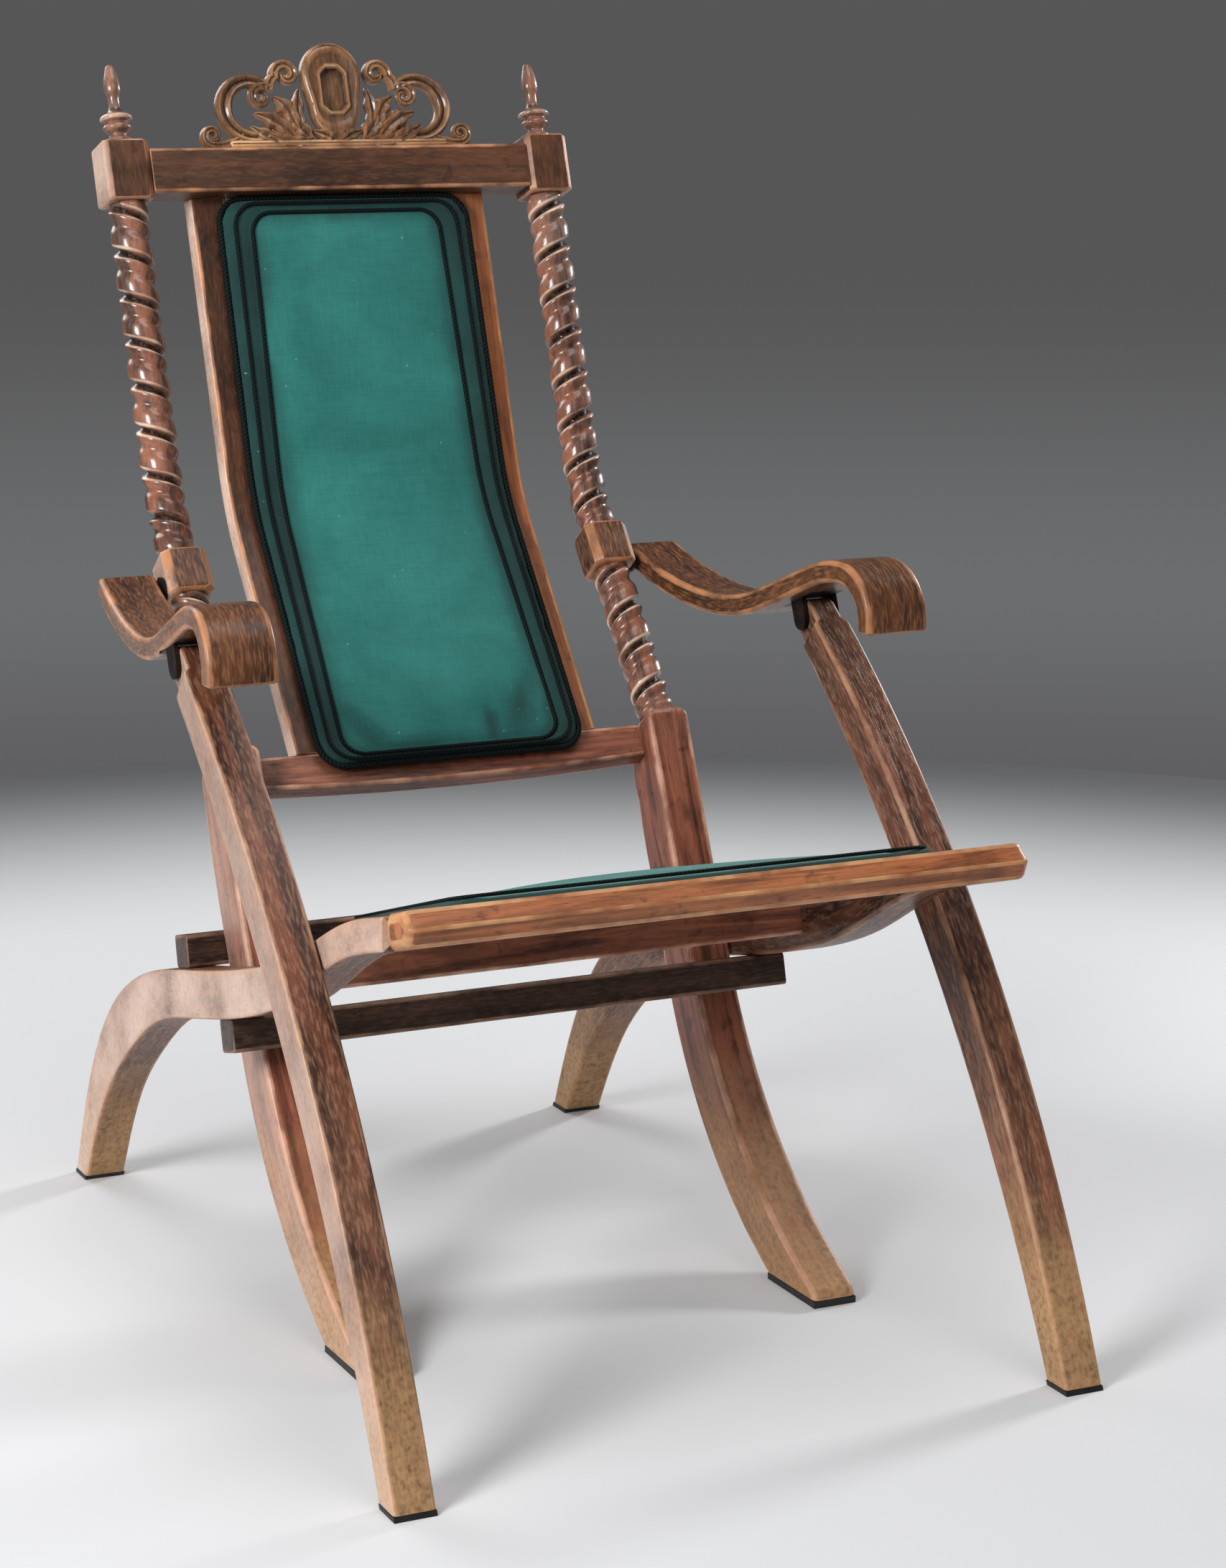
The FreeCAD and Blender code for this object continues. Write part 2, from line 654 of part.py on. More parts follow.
def hinge_screws():
    x = (leg_in + leg_out) / 2
    up = at((-slope_down[0], -slope_down[1]))
    places = [at(hinge_local(u, 0), x) for u in (-SCREW_OUT, SCREW_OUT)]
    return Part.makeCompound([Part.makeCylinder(SCREW_RADIUS, SCREW_LENGTH, p, up) for p in places])


def front_leg():
    """Right front leg: bowed bar with a rounded tongue at the hinge and a pad under its foot."""
    up = ray(90.0 - LEG_TOP_LEAN)
    fore = left_of(up)
    fore_top = add(hinge, fore, LEG_TOP_RADIUS)
    crown = add(hinge, up, LEG_TOP_RADIUS)
    rear_top = add(hinge, fore, -LEG_TOP_RADIUS)
    toe, heel = [(y, 0.0) for y in LEG_FOOT]
    edges = [arc(toe, LEG_FRONT_BOW, fore_top), arc(fore_top, crown, rear_top),
             arc(rear_top, LEG_REAR_BOW, heel), line(heel, toe)]
    leg, pad = parted(slab(edges, leg_in, leg_out), LEG_PAD)
    cheek = LUG_THICK + RUN_GAP
    cheek_radius = LEG_TOP_RADIUS + LUG_THICK
    cuts = [rod(hinge, leg_in - CUT_OVER, leg_in + cheek, cheek_radius),
            rod(hinge, leg_out - cheek, leg_out + CUT_OVER, cheek_radius),
            rod(hinge, leg_in - CUT_OVER, leg_out + CUT_OVER, HINGE_PIN + FIT)]
    return leg.cut(cuts), pad


def bolt(p, x0, x1, sizes):
    """Pivot bolt from the inside face of a post outwards, its head let in flush."""
    radius, head_radius, head_thick = sizes
    return rod(p, x0, x1, radius).fuse(rod(p, x0, x0 + head_thick, head_radius)).removeSplitter()


def bolt_bore(p, x0, x1, sizes):
    radius, head_radius, head_thick = sizes
    shank = rod(p, x0 - CUT_OVER, x1 + FIT, radius + FIT)
    return shank.fuse(rod(p, x0 - CUT_OVER, x0 + head_thick + FIT, head_radius + FIT))


def washer(p, x0, x1, radius):
    return rod(p, x0, x1, radius + WASHER_RIM).cut(rod(p, x0 - CUT_OVER, x1 + CUT_OVER, radius + FIT))


def dowel(p, x, direction, length):
    """Peg centred at (x, p) along a direction, and the bore for it."""
    start = at(p, x) - direction * (length / 2)
    peg = Part.makeCylinder(DOWEL_RADIUS, length, start, direction)
    bore = Part.makeCylinder(DOWEL_RADIUS + FIT, length + 2 * FIT, start - direction * FIT, direction)
    return peg, bore


def build():
    parts = {}
    right_post = post()
    rail = top_rail()
    low_rail = bottom_rail()
    right_member, rear_pad = seat_member()
    back_rail, back_rail_mid = rear_rail()
    lip = front_rail()
    right_arm = arm()
    right_leg, leg_pad = front_leg()
    fork, plate = leg_hinge()

    bars = stretchers(right_post)

    across = V(1, 0, 0)
    frame_pegs = [dowel(rail_mid, rail_end, across, 2 * DOWEL_BITE),
                  dowel(bottom_rail_mid, post_in, across, 2 * DOWEL_BITE)]
    for _, joint, direction in bars:
        frame_pegs.append(dowel(joint, POST_X, direction, STRETCHER_DOWEL))
    frame_bores = [bore for _, pair in frame_pegs for bore in both(pair)]
    seat_pegs = [dowel(back_rail_mid, member_in, across, 2 * DOWEL_BITE),
                 dowel((front_under[0], (front_under[1] + front_top[1]) / 2), (member_in + member_out) / 2,
                       at(seat_fore), 2 * DOWEL_BITE)]
    seat_bores = [bore for _, pair in seat_pegs for bore in both(pair)]

    pivot_end = member_in + BOLT_BITE
    arm_end = arm_in + BOLT_BITE
    pivot_bore = bolt_bore(X_PIVOT, post_in, pivot_end, PIVOT_BOLT)
    arm_bore = bolt_bore(arm_pivot, block_in, arm_end, ARM_BOLT)
    stud = rod(LEG_PIVOT, member_out - BOLT_BITE, leg_in - RUN_GAP, STUD_RADIUS)
    stud_bore = rod(LEG_PIVOT, member_out - BOLT_BITE - FIT, leg_in, STUD_RADIUS + FIT)
    screws = hinge_screws()

    right_post = right_post.cut(frame_bores + [pivot_bore, arm_bore])
    right_member = right_member.cut(seat_bores + [pivot_bore, stud_bore])
    right_arm = right_arm.cut([arm_bore, plate] + screws.Solids)
    pin = rod(hinge, leg_in, leg_out, HINGE_PIN)
    fork = fork.cut(screws.Solids + [pin])

    parts["top_rail"] = rail.cut(frame_bores)
    parts["crest_carving"] = crest()
    parts["bottom_rail"] = low_rail.cut(frame_bores)
    parts["back_cloth"] = back_cloth()
    parts["back_pad"] = back_pad()
    parts["back_binding"] = back_binding()
    for name, (bar, _, _) in zip(("front_stretcher", "rear_stretcher"), bars):
        parts[name] = bar.cut(frame_bores)
    parts["frame_dowels"] = Part.makeCompound([peg for pair, _ in frame_pegs for peg in both(pair)])
    parts["pivot_bolts"] = Part.makeCompound(both(bolt(X_PIVOT, post_in, pivot_end, PIVOT_BOLT)))
    pivot_washer = washer(X_PIVOT, post_out, member_in - RUN_GAP, PIVOT_BOLT[0])
    parts["pivot_washers"] = Part.makeCompound(both(pivot_washer))
    parts["arm_bolts"] = Part.makeCompound(both(bolt(arm_pivot, block_in, arm_end, ARM_BOLT)))
    arm_washer = washer(arm_pivot, block_out, arm_in - RUN_GAP, ARM_BOLT[0])
    parts["arm_washers"] = Part.makeCompound(both(arm_washer))
    heel = SABRE_REAR[-1][0]
    sabre_pad = slab(polygon([(SABRE_TOE, 0), (heel, 0), (heel, SABRE_PAD), (SABRE_TOE, SABRE_PAD)]),
                     post_in, post_out)
    parts["sabre_foot_pads"] = Part.makeCompound(both(sabre_pad))
    parts["front_rail"] = lip.cut(seat_bores)
    parts["rear_rail"] = back_rail.cut(seat_bores)
    parts["seat_dowels"] = Part.makeCompound([peg for pair, _ in seat_pegs for peg in both(pair)])
    parts["seat_webbing"] = seat_webbing()
    parts["seat_pad"] = seat_pad()
    parts["leg_studs"] = Part.makeCompound(both(stud))
    parts["rear_foot_pads"] = Part.makeCompound(both(rear_pad))
    sided = {"post": right_post, "finial": finial(), "stile": stile(), "seat_member": right_member,
             "arm": right_arm, "leg_hinge": fork, "hinge_pin": pin, "hinge_screws": screws,
             "front_leg": right_leg, "front_foot_pad": leg_pad}
    for name, shape in sided.items():
        parts["right_" + name] = shape
        parts["left_" + name] = mirrored(shape)
    return parts


os.makedirs("parts", exist_ok=True)
for node, solid in build().items():
    solid.exportStep("parts/" + node + ".step")
    print(node, len(solid.Solids), round(solid.Volume))
print("arm pivot", [round(v, 3) for v in arm_pivot], "leg hinge", [round(v, 3) for v in hinge])
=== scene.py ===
# %% [markdown]
# A folding campaign chair.
# The frame that is loaded here holds every timber, pin and pad of the chair at its real size, with its
# joints. This lesson gives those pieces their looks. Plain timbers become rounded and worn ones, the
# shafts get their twist, the crest its carving and the pads their stuffing. Everything is in metres, in
# the frame's own place: X runs across the chair, -Y is the way the sitter faces, and Z is up.

# %% Load the frame
import json
import bpy
import numpy as np
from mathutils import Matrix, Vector


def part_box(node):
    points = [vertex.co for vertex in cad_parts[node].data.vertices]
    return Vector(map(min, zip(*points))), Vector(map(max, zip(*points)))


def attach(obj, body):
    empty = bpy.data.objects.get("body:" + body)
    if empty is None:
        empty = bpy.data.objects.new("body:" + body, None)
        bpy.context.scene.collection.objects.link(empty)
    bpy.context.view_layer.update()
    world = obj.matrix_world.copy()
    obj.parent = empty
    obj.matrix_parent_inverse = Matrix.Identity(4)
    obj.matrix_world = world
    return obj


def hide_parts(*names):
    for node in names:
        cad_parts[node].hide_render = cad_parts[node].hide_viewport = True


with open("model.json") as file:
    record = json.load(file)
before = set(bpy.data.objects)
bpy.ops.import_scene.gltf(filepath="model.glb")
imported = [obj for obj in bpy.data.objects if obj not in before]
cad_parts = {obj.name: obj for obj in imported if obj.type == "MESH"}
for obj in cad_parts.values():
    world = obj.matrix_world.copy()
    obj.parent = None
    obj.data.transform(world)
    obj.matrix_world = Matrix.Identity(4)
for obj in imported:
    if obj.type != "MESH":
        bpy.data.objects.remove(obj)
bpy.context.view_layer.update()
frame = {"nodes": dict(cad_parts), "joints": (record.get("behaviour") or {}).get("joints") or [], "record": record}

# %% [markdown]
# Nearly all of the chair is timber, rounded and worn. Such pieces could be pushed into shape by hand in
# Edit Mode, but then no size could be changed later. Here each piece is worked out as a grid of points,
# ring after ring along its length, and this step turns grids into meshes. Neighbouring rings are joined
# by quads, both ends are closed, and the signed volume tells whether the faces point outwards. Each point
# gets four attributes that the finishes read: where it lies along and across the grain, how much hands
# have rubbed it, how deep it lies in a hollow that keeps dirt, and whether it is on an outer face, which
# the wood paints paler as a highlight of light from the side.

# %% From grids to meshes
CRISP = np.radians(35.0)


def part(points, grain, edge=0.0, hollow=0.0, side=0.0):
    """One tube of rings, with its attributes spread to the rings' shape."""
    shape = points.shape[:2]
    return {"points": points, "closed": False, "grain": grain, "edge": np.broadcast_to(edge, shape),
            "hollow": np.broadcast_to(hollow, shape), "side": np.broadcast_to(side, shape)}


def closed_faces(points, start, closed):
    """Quads between rings, and both end faces unless the line is closed.

    The volume is the sum of a . (b x c) + a . (c x d) over the quads. Below zero, the faces turn round.
    """
    rows, columns = points.shape[:2]
    index = np.arange(rows * columns).reshape(rows, columns)
    index = np.concatenate([index, index[:1]]) if closed else index
    ring = np.roll(index, -1, axis=1)
    quads = np.stack([index[:-1], ring[:-1], ring[1:], index[1:]], -1).reshape(-1, 4)
    spots = points.reshape(-1, 3) - points.reshape(-1, 3).mean(0)
    a, b, c, d = (spots[quads[:, k]] for k in range(4))
    volume = np.einsum("ij,ij->", a, np.cross(b, c)) + np.einsum("ij,ij->", a, np.cross(c, d))
    caps = [] if closed else [(index[0][::-1] + start).tolist(), (index[-1] + start).tolist()]
    faces = (quads + start).tolist() + caps
    return faces if volume > 0 else [face[::-1] for face in faces]


def mark(mesh, label, values):
    """Store one number or one vector per point under a name that a finish can read."""
    kind, field = ("FLOAT_VECTOR", "vector") if np.ndim(values) == 2 else ("FLOAT", "value")
    mesh.attributes.new(label, kind, "POINT").data.foreach_set(field, values.astype(np.float32).ravel())


print("edges crisper than", round(np.degrees(CRISP)), "degrees stay sharp")

# %% [markdown]
# A mesh becomes a piece of the chair when it rides one of the frame's bodies, so that it folds with the
# rest. It also hides the frame's nodes that it stands for. The chair is the same on both sides. A Mirror
# modifier would join left and right in one piece, and the two arms could not move on their own, so a pair
# is made as two pieces. Each piece reads its grain from another stretch of the same endless board.

# %% From meshes to pieces
GRAIN_SHIFT = 0.37
pieces = {}


def settle(piece, body, finish, replaces=()):
    """Link a piece, give it its finish and let it ride its body."""
    if piece.name not in bpy.context.scene.collection.objects:
        bpy.context.scene.collection.objects.link(piece)
    material, slot = finish
    piece.data.materials.clear()
    piece.data.materials.append(material)
    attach(piece, body)
    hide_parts(*replaces)
    pieces[piece.name] = piece
    return piece


def add_piece(name, parts, body, finish, replaces=()):
    """One or more closed parts as one piece, with its finish and the frame's nodes that it stands for."""
    spots = np.concatenate([made["points"].reshape(-1, 3) for made in parts])
    starts = np.cumsum([0] + [made["points"][..., 0].size for made in parts])
    faces = [face for made, start in zip(parts, starts)
             for face in closed_faces(made["points"], start, made["closed"])]
    mesh = bpy.data.meshes.new(name)
    mesh.from_pydata(spots.tolist(), [], faces)
    grain = np.concatenate([made["grain"].reshape(-1, 3) for made in parts])
    mark(mesh, "grain", grain + (len(pieces) * GRAIN_SHIFT, 0.0, 0.0))
    for label in ("edge", "hollow", "side"):
        mark(mesh, label, np.concatenate([made[label].ravel() for made in parts]))
    mesh.polygons.foreach_set("use_smooth", np.ones(len(mesh.polygons), bool))
    mesh.set_sharp_from_angle(angle=CRISP)
    return settle(bpy.data.objects.new(name, mesh), body, finish, replaces)


def mirrored(parts):
    """The same parts on the other side of the chair: x becomes -x."""
    return [dict(made, points=made["points"] * (-1.0, 1.0, 1.0)) for made in parts]


def add_pair(name, parts, body, finish, replaces=()):
    """A right piece and its mirror image. In names, SIDE stands for right or left."""
    for side, made in (("right", parts), ("left", mirrored(parts))):
        add_piece(name.replace("SIDE", side), made, body.replace("SIDE", side), finish,
                  [node.replace("SIDE", side) for node in replaces])


print("each piece takes its grain", GRAIN_SHIFT, "m further along the board")

# %% [markdown]
# A finish is a tree of shader nodes. It could be wired by hand in the Shader Editor. Written as code it
# can be read and repeated, and a short wrapper keeps it readable: it adds a node, sets its values and
# links whatever is already a socket. Colours are written as they look on screen and turned into linear
# light.

# %% Building node trees
def seen(red, green, blue):
    """Screen colour, 0 to 255, as linear light: ((c + 0.055) / 1.055) ^ 2.4, and c / 12.92 near black."""
    c = np.array([red, green, blue]) / 255.0
    light = np.where(c <= 0.04045, c / 12.92, ((c + 0.055) / 1.055) ** 2.4)
    return (*light.tolist(), 1.0)


class Tree:
    """A node tree with short calls for the nodes that the finishes use."""

    def __init__(self, tree):
        self.nodes, self.links = tree.nodes, tree.links

    def add(self, kind, values=(), **settings):
        """A node with its settings. A value that is a socket is linked, and any other value is set."""
        node = self.nodes.new(kind)
        for name, value in settings.items():
            setattr(node, name, value)
        for key, value in dict(values).items():
            if isinstance(value, bpy.types.NodeSocket):
                self.links.new(value, node.inputs[key])
            else:
                node.inputs[key].default_value = value
        return node

    def give(self, inputs, **values):
        """Link values to a shader's sockets or to a group's outputs. In names, _ stands for a space."""
        for label, value in values.items():
            self.links.new(value, inputs[label.replace("_", " ")])

    def place(self):
        """Object coordinates, which are metres in the frame's own place."""
        return self.add("ShaderNodeTexCoord").outputs["Object"]

    def vector(self, name):
        """A vector that the piece's points carry."""
        return self.add("ShaderNodeAttribute", attribute_name=name).outputs["Vector"]

    def value(self, name):
        """A number that the piece's points carry."""
        return self.add("ShaderNodeAttribute", attribute_name=name).outputs["Fac"]

    def stretch(self, vector, scale):
        """A vector times a scale for each direction."""
        return self.add("ShaderNodeMapping", {"Vector": vector, "Scale": scale}).outputs[0]

    def noise(self, vector, scale, detail=3.0, twist=0.0):
        """Cloudy noise from 0 to 1."""
        values = {"Vector": vector, "Scale": scale, "Detail": detail, "Distortion": twist}
        return self.add("ShaderNodeTexNoise", values).outputs["Fac"]

    def step(self, value, low, high):
        """Smooth step from 0 at low to 1 at high."""
        values = {"Value": value, "From Min": low, "From Max": high}
        return self.add("ShaderNodeMapRange", values, interpolation_type="SMOOTHSTEP").outputs[0]

    def math(self, operation, *values):
        """One step of arithmetic."""
        return self.add("ShaderNodeMath", dict(enumerate(values)), operation=operation).outputs[0]

    def plus(self, a, b):
        """a + b."""
        return self.math("ADD", a, b)

    def times(self, a, b):
        """a * b."""
        return self.math("MULTIPLY", a, b)

    def mix(self, share, a, b):
        """The colour (1 - share) * a + share * b."""
        return self.add("ShaderNodeMix", {0: share, 6: a, 7: b}, data_type="RGBA").outputs[2]

    def split(self, vector):
        """The three parts of a vector."""
        return self.add("ShaderNodeSeparateXYZ", {0: vector}).outputs

    def group(self, made, values):
        """A shared effect, with its own values here."""
        return self.add("ShaderNodeGroup", values, node_tree=made).outputs

    def bump(self, height, strength, distance):
        """The normal of a surface that is raised by height * distance."""
        values = {"Strength": strength, "Distance": distance, "Height": height}
        return self.add("ShaderNodeBump", values).outputs[0]


print("linear light of a mid brown:", np.round(seen(122, 70, 44)[:3], 3))

# %% [markdown]
# An effect that several finishes share is built once, as a node group, and placed in each of them. The
# wood of this chair shares three. Timber grain draws long streaks, short dark pores and golden flecks
# along the grain attribute. Handling wear breaks up the rubbed edges. Old dirt gathers in hollows, in
# broad patches and in small spots. Painted pictures of wood could show all this too, but they would
# stretch round the twist and the scrolls.

# %% Effects of the wood
STREAK_STRETCH, STREAK_RANGE, STREAK_HEIGHT = (5.0, 70.0, 70.0), (0.30, 0.70), 0.3
PORE_STRETCH, PORE_RANGE = (45.0, 1300.0, 1300.0), (0.58, 0.72)
FLECK_STRETCH, FLECK_RANGE = (90.0, 420.0, 420.0), (0.42, 0.72)
WEAR_NOISE, WEAR_PATCHES, WEAR_RANGE = 30.0, 1.4, (1.35, 2.05)
SCUFF_NOISE, SCUFF_RANGE = 150.0, (0.58, 0.75)
PATCH_NOISE, PATCH_RANGE, PATCH_SHARE = 9.0, (0.50, 0.76), 0.72
SPOT_NOISE, SPOT_RANGE, SPOT_SHARE = 60.0, (0.55, 0.72), 0.5


def new_group(name, inputs, outputs):
    """Empty node group with named sockets, its tree, and the sockets inside it."""
    group = bpy.data.node_groups.new(name, "ShaderNodeTree")
    for label, kind in inputs.items():
        group.interface.new_socket(label, in_out="INPUT", socket_type="NodeSocket" + kind)
    for label in outputs:
        group.interface.new_socket(label, in_out="OUTPUT", socket_type="NodeSocketFloat")
    tree = Tree(group)
    source, sink = tree.add("NodeGroupInput"), tree.add("NodeGroupOutput")
    return group, tree, source.outputs, sink.inputs


def make_grain():
    """Noise drawn out along the grain and cut by a step. The height is streaks * 0.3 - pores."""
    group, tree, given, result = new_group("timber_grain", {"Place": "Vector"},
                                           ["Streaks", "Pores", "Flecks", "Height"])
    streaks = tree.noise(tree.stretch(given["Place"], STREAK_STRETCH), 1.0, 5.0, 1.2)
    pores = tree.noise(tree.stretch(given["Place"], PORE_STRETCH), 1.0, 2.0)
    flecks = tree.noise(tree.stretch(given["Place"], FLECK_STRETCH), 1.0, 5.0)
    streaks, pores = tree.step(streaks, *STREAK_RANGE), tree.step(pores, *PORE_RANGE)
    tree.give(result, Streaks=streaks, Pores=pores, Flecks=tree.step(flecks, *FLECK_RANGE),
              Height=tree.math("SUBTRACT", tree.times(streaks, STREAK_HEIGHT), pores))
    return group


def make_wear():
    """Worn where an edge meets a bright spot of noise: step(edge + 1.4 * noise). Scuffs are a finer noise."""
    group, tree, given, result = new_group("handling_wear", {"Edge": "Float", "Place": "Vector"},
                                           ["Worn", "Scuffs"])
    patchy = tree.times(tree.noise(given["Place"], WEAR_NOISE, 6.0), WEAR_PATCHES)
    scuffs = tree.noise(given["Place"], SCUFF_NOISE, 4.0)
    tree.give(result, Worn=tree.step(tree.plus(given["Edge"], patchy), *WEAR_RANGE),
              Scuffs=tree.step(scuffs, *SCUFF_RANGE))
    return group


def make_dirt():
    """Dirt is the hollow itself, broad patches of slow noise or small spots, whichever is darkest."""
    group, tree, given, result = new_group("old_dirt", {"Hollow": "Float", "Place": "Vector"}, ["Dirt"])
    broad = tree.step(tree.noise(given["Place"], PATCH_NOISE, 5.0, 0.8), *PATCH_RANGE)
    spots = tree.step(tree.noise(given["Place"], SPOT_NOISE, 6.0, 0.5), *SPOT_RANGE)
    patches = tree.math("MAXIMUM", tree.times(broad, PATCH_SHARE), tree.times(spots, SPOT_SHARE))
    tree.give(result, Dirt=tree.math("MAXIMUM", given["Hollow"], patches))
    return group


timber_grain, handling_wear, old_dirt = make_grain(), make_wear(), make_dirt()
print("effects of the wood:", timber_grain.name, handling_wear.name, old_dirt.name)

# %% [markdown]
# The wood is an old reddish hardwood under worn polish. Its outer faces are painted paler, as a painted
# highlight of light from the side, and the last stretch above the floor is scuffed down to speckled bare
# wood. One picture of old wood could not serve timbers that are worn so differently, so one function
# makes each of their shades. It lays one colour over another: streaks, fading, pores, dirt, flecks,
# scuffed feet, the painted side highlight and, last, the edges that hands have rubbed golden.

# %% Wood
FOOT_TOP, FOOT_FULL, FOOT_RAGGED, FOOT_DULL = 0.36, 0.14, 0.30, 0.18
# The second colour below is a painted highlight, laid on outer faces as light from the side.
FOOT_WOOD, PAINTED_HIGHLIGHT_WOOD, DIRT = seen(190, 150, 102), seen(226, 196, 178), seen(24, 14, 10)
FADE_NOISE, FADE_RANGE, FADE_SHARE = 4.0, (0.35, 0.70), 0.10
RAGGED_NOISE = 13.0
SPECKLE_NOISE, SPECKLE_RANGE, SPECKLE_SHARE = 190.0, (0.05, 0.70), 0.85
MOTTLE_NOISE, MOTTLE_RANGE, MOTTLE_SPECKLE = 14.0, (0.15, 0.70), 0.4
DENT_NOISE, DENT_HEIGHT = 60.0, 2.5
PORE_SHARE, GLOSS, SCUFF_ROUGH = 0.5, 0.42, 0.22


def new_material(name, **constants):
    """Material with one Principled shader, whose plain values are set on its own sockets."""
    material = bpy.data.materials.new(name)
    material.use_nodes = True
    shader = material.node_tree.nodes["Principled BSDF"]
    for label, value in constants.items():
        shader.inputs[label.replace("_", " ")].default_value = value
    return material, Tree(material.node_tree), shader.inputs


def timber(name, dark, mid, worn, slot="brown_wood", coat=0.15, shine=0.26, flecks=0.08, rub=1.0):
    """One shade of the wood and its slot: each layer is mixed over the one before by its own share."""
    dark, mid, worn = seen(*dark), seen(*mid), seen(*worn)
    material, tree, shader = new_material(name, Coat_Weight=coat, Coat_Roughness=shine,
                                          Specular_IOR_Level=0.35)
    place = tree.place()
    grain = tree.group(timber_grain, {"Place": tree.vector("grain")})
    wear = tree.group(handling_wear, {"Edge": tree.value("edge"), "Place": place})
    soil = tree.group(old_dirt, {"Hollow": tree.value("hollow"), "Place": place})
    fade = tree.step(tree.noise(place, FADE_NOISE, 2.0), *FADE_RANGE)
    speckle = tree.step(tree.noise(place, SPECKLE_NOISE, 8.0), *SPECKLE_RANGE)
    mottle = tree.step(tree.noise(place, MOTTLE_NOISE, 8.0), *MOTTLE_RANGE)
    ragged = tree.times(tree.noise(place, RAGGED_NOISE, 6.0), FOOT_RAGGED)
    foot = tree.step(tree.plus(tree.split(place)[2], ragged), FOOT_TOP, FOOT_FULL)
    # Painted highlight: outer faces, marked by the side attribute, turn pale in mottled patches, as side light.
    painted_side_highlight = tree.times(tree.plus(mottle, tree.times(speckle, MOTTLE_SPECKLE)), tree.value("side"))
    layers = [(tree.times(fade, FADE_SHARE), worn), (tree.times(grain["Pores"], PORE_SHARE), DIRT),
              (soil["Dirt"], DIRT), (tree.times(grain["Flecks"], flecks), worn),
              (tree.times(foot, tree.times(speckle, SPECKLE_SHARE)), FOOT_WOOD), (painted_side_highlight, PAINTED_HIGHLIGHT_WOOD),
              (tree.times(wear["Worn"], rub), worn)]
    colour = tree.mix(grain["Streaks"], dark, mid)
    for share, layer in layers:
        colour = tree.mix(share, colour, layer)
    rough = tree.math("MULTIPLY_ADD", wear["Scuffs"], SCUFF_ROUGH, GLOSS)
    dents = tree.plus(grain["Height"], tree.times(tree.noise(place, DENT_NOISE, 3.0), DENT_HEIGHT))
    tree.give(shader, Base_Color=colour, Roughness=tree.plus(rough, tree.times(foot, FOOT_DULL)),
              Normal=tree.bump(dents, 0.35, 0.0006))
    return material, slot


# The turned wood's very pale worn colour serves rubbed wear and also a painted highlight on the twist's lips.
turned_wood = timber("turned_wood", (58, 31, 22), (144, 85, 60), (236, 204, 178), coat=0.7, shine=0.15)
dark_wood = timber("dark_wood", (32, 18, 13), (80, 42, 24), (206, 146, 106))
frame_wood = timber("frame_wood", (78, 38, 27), (160, 92, 66), (214, 162, 134))
arm_wood = timber("arm_wood", (42, 24, 14), (94, 54, 31), (204, 138, 92), flecks=0.28, rub=0.8)
rail_wood = timber("rail_wood", (108, 56, 28), (178, 102, 58), (212, 160, 112))
# The darkest wood below is painted shade, a darker copy of the wood for the stretchers under the seat.
painted_shade_wood = timber("painted_shade_wood", (20, 13, 10), (60, 40, 30), (150, 110, 84), flecks=0.15)
leg_wood = timber("leg_wood", (50, 27, 20), (118, 66, 45), (206, 158, 124), flecks=0.28, rub=0.6)
# The crest's pale worn colour on its ridges is partly rubbed wear and partly a painted highlight.
crest_wood = timber("crest_wood", (58, 34, 20), (132, 84, 50), (220, 172, 122), "carved_wood", coat=0.6,
                    shine=0.16, flecks=0.12)
print("wood finishes:", [m.name for m in bpy.data.materials if m.name.endswith("_wood")])

# %% [markdown]
# The pads are covered in a felted bottle green cloth with a fine weave. It has faded unevenly, it is
# darker along the border, and it holds pale lint. Along its seam and in the creases near its lower
# corners it is painted darker, as painted shade, and it is darker in a strip near the rear of the seat.
# Real threads would need millions of faces, so a second shared effect, the weave, crosses two sets of
# waves and adds slubs and lint. The linen behind the back and under the seat is the same cloth in other
# colours.

# %% Cloth
SLUB_STRETCH = (40.0, 620.0, 1.0), (620.0, 40.0, 1.0)
SLUB_RANGE, SLUB_SHARE, SLUB_HEIGHT = (0.40, 0.64), 0.2, 1.5
LINT_NOISE, LINT_RANGE, LINT_SHARE, LINT = 160.0, (0.72, 0.80), 0.5, seen(176, 196, 186)
SUN_NOISE, SUN_RANGE = 7.0, (0.30, 0.72)
SHADE_BREAKUP_NOISE, SHADE_BREAKUP_RANGE, BAND_SHARE = 16.0, (-0.10, 0.70), 0.66


def make_weave():
    """Threads: |sin| along both directions of the cloth. Slubs: noise drawn out along each of them."""
    group, tree, given, result = new_group("weave", {"Place": "Vector", "Threads": "Float"},
                                           ["Threads", "Slubs", "Lint"])
    along = tree.split(given["Place"])
    waves = [tree.math("ABSOLUTE", tree.math("SINE", tree.times(along[k], given["Threads"]))) for k in (0, 1)]
    slubs = [tree.noise(tree.stretch(given["Place"], scale), 1.0, 2.0) for scale in SLUB_STRETCH]
    lint = tree.step(tree.noise(given["Place"], LINT_NOISE, 2.0), *LINT_RANGE)
    tree.give(result, Threads=tree.times(*waves), Slubs=tree.times(tree.plus(*slubs), 0.5), Lint=lint)
    return group


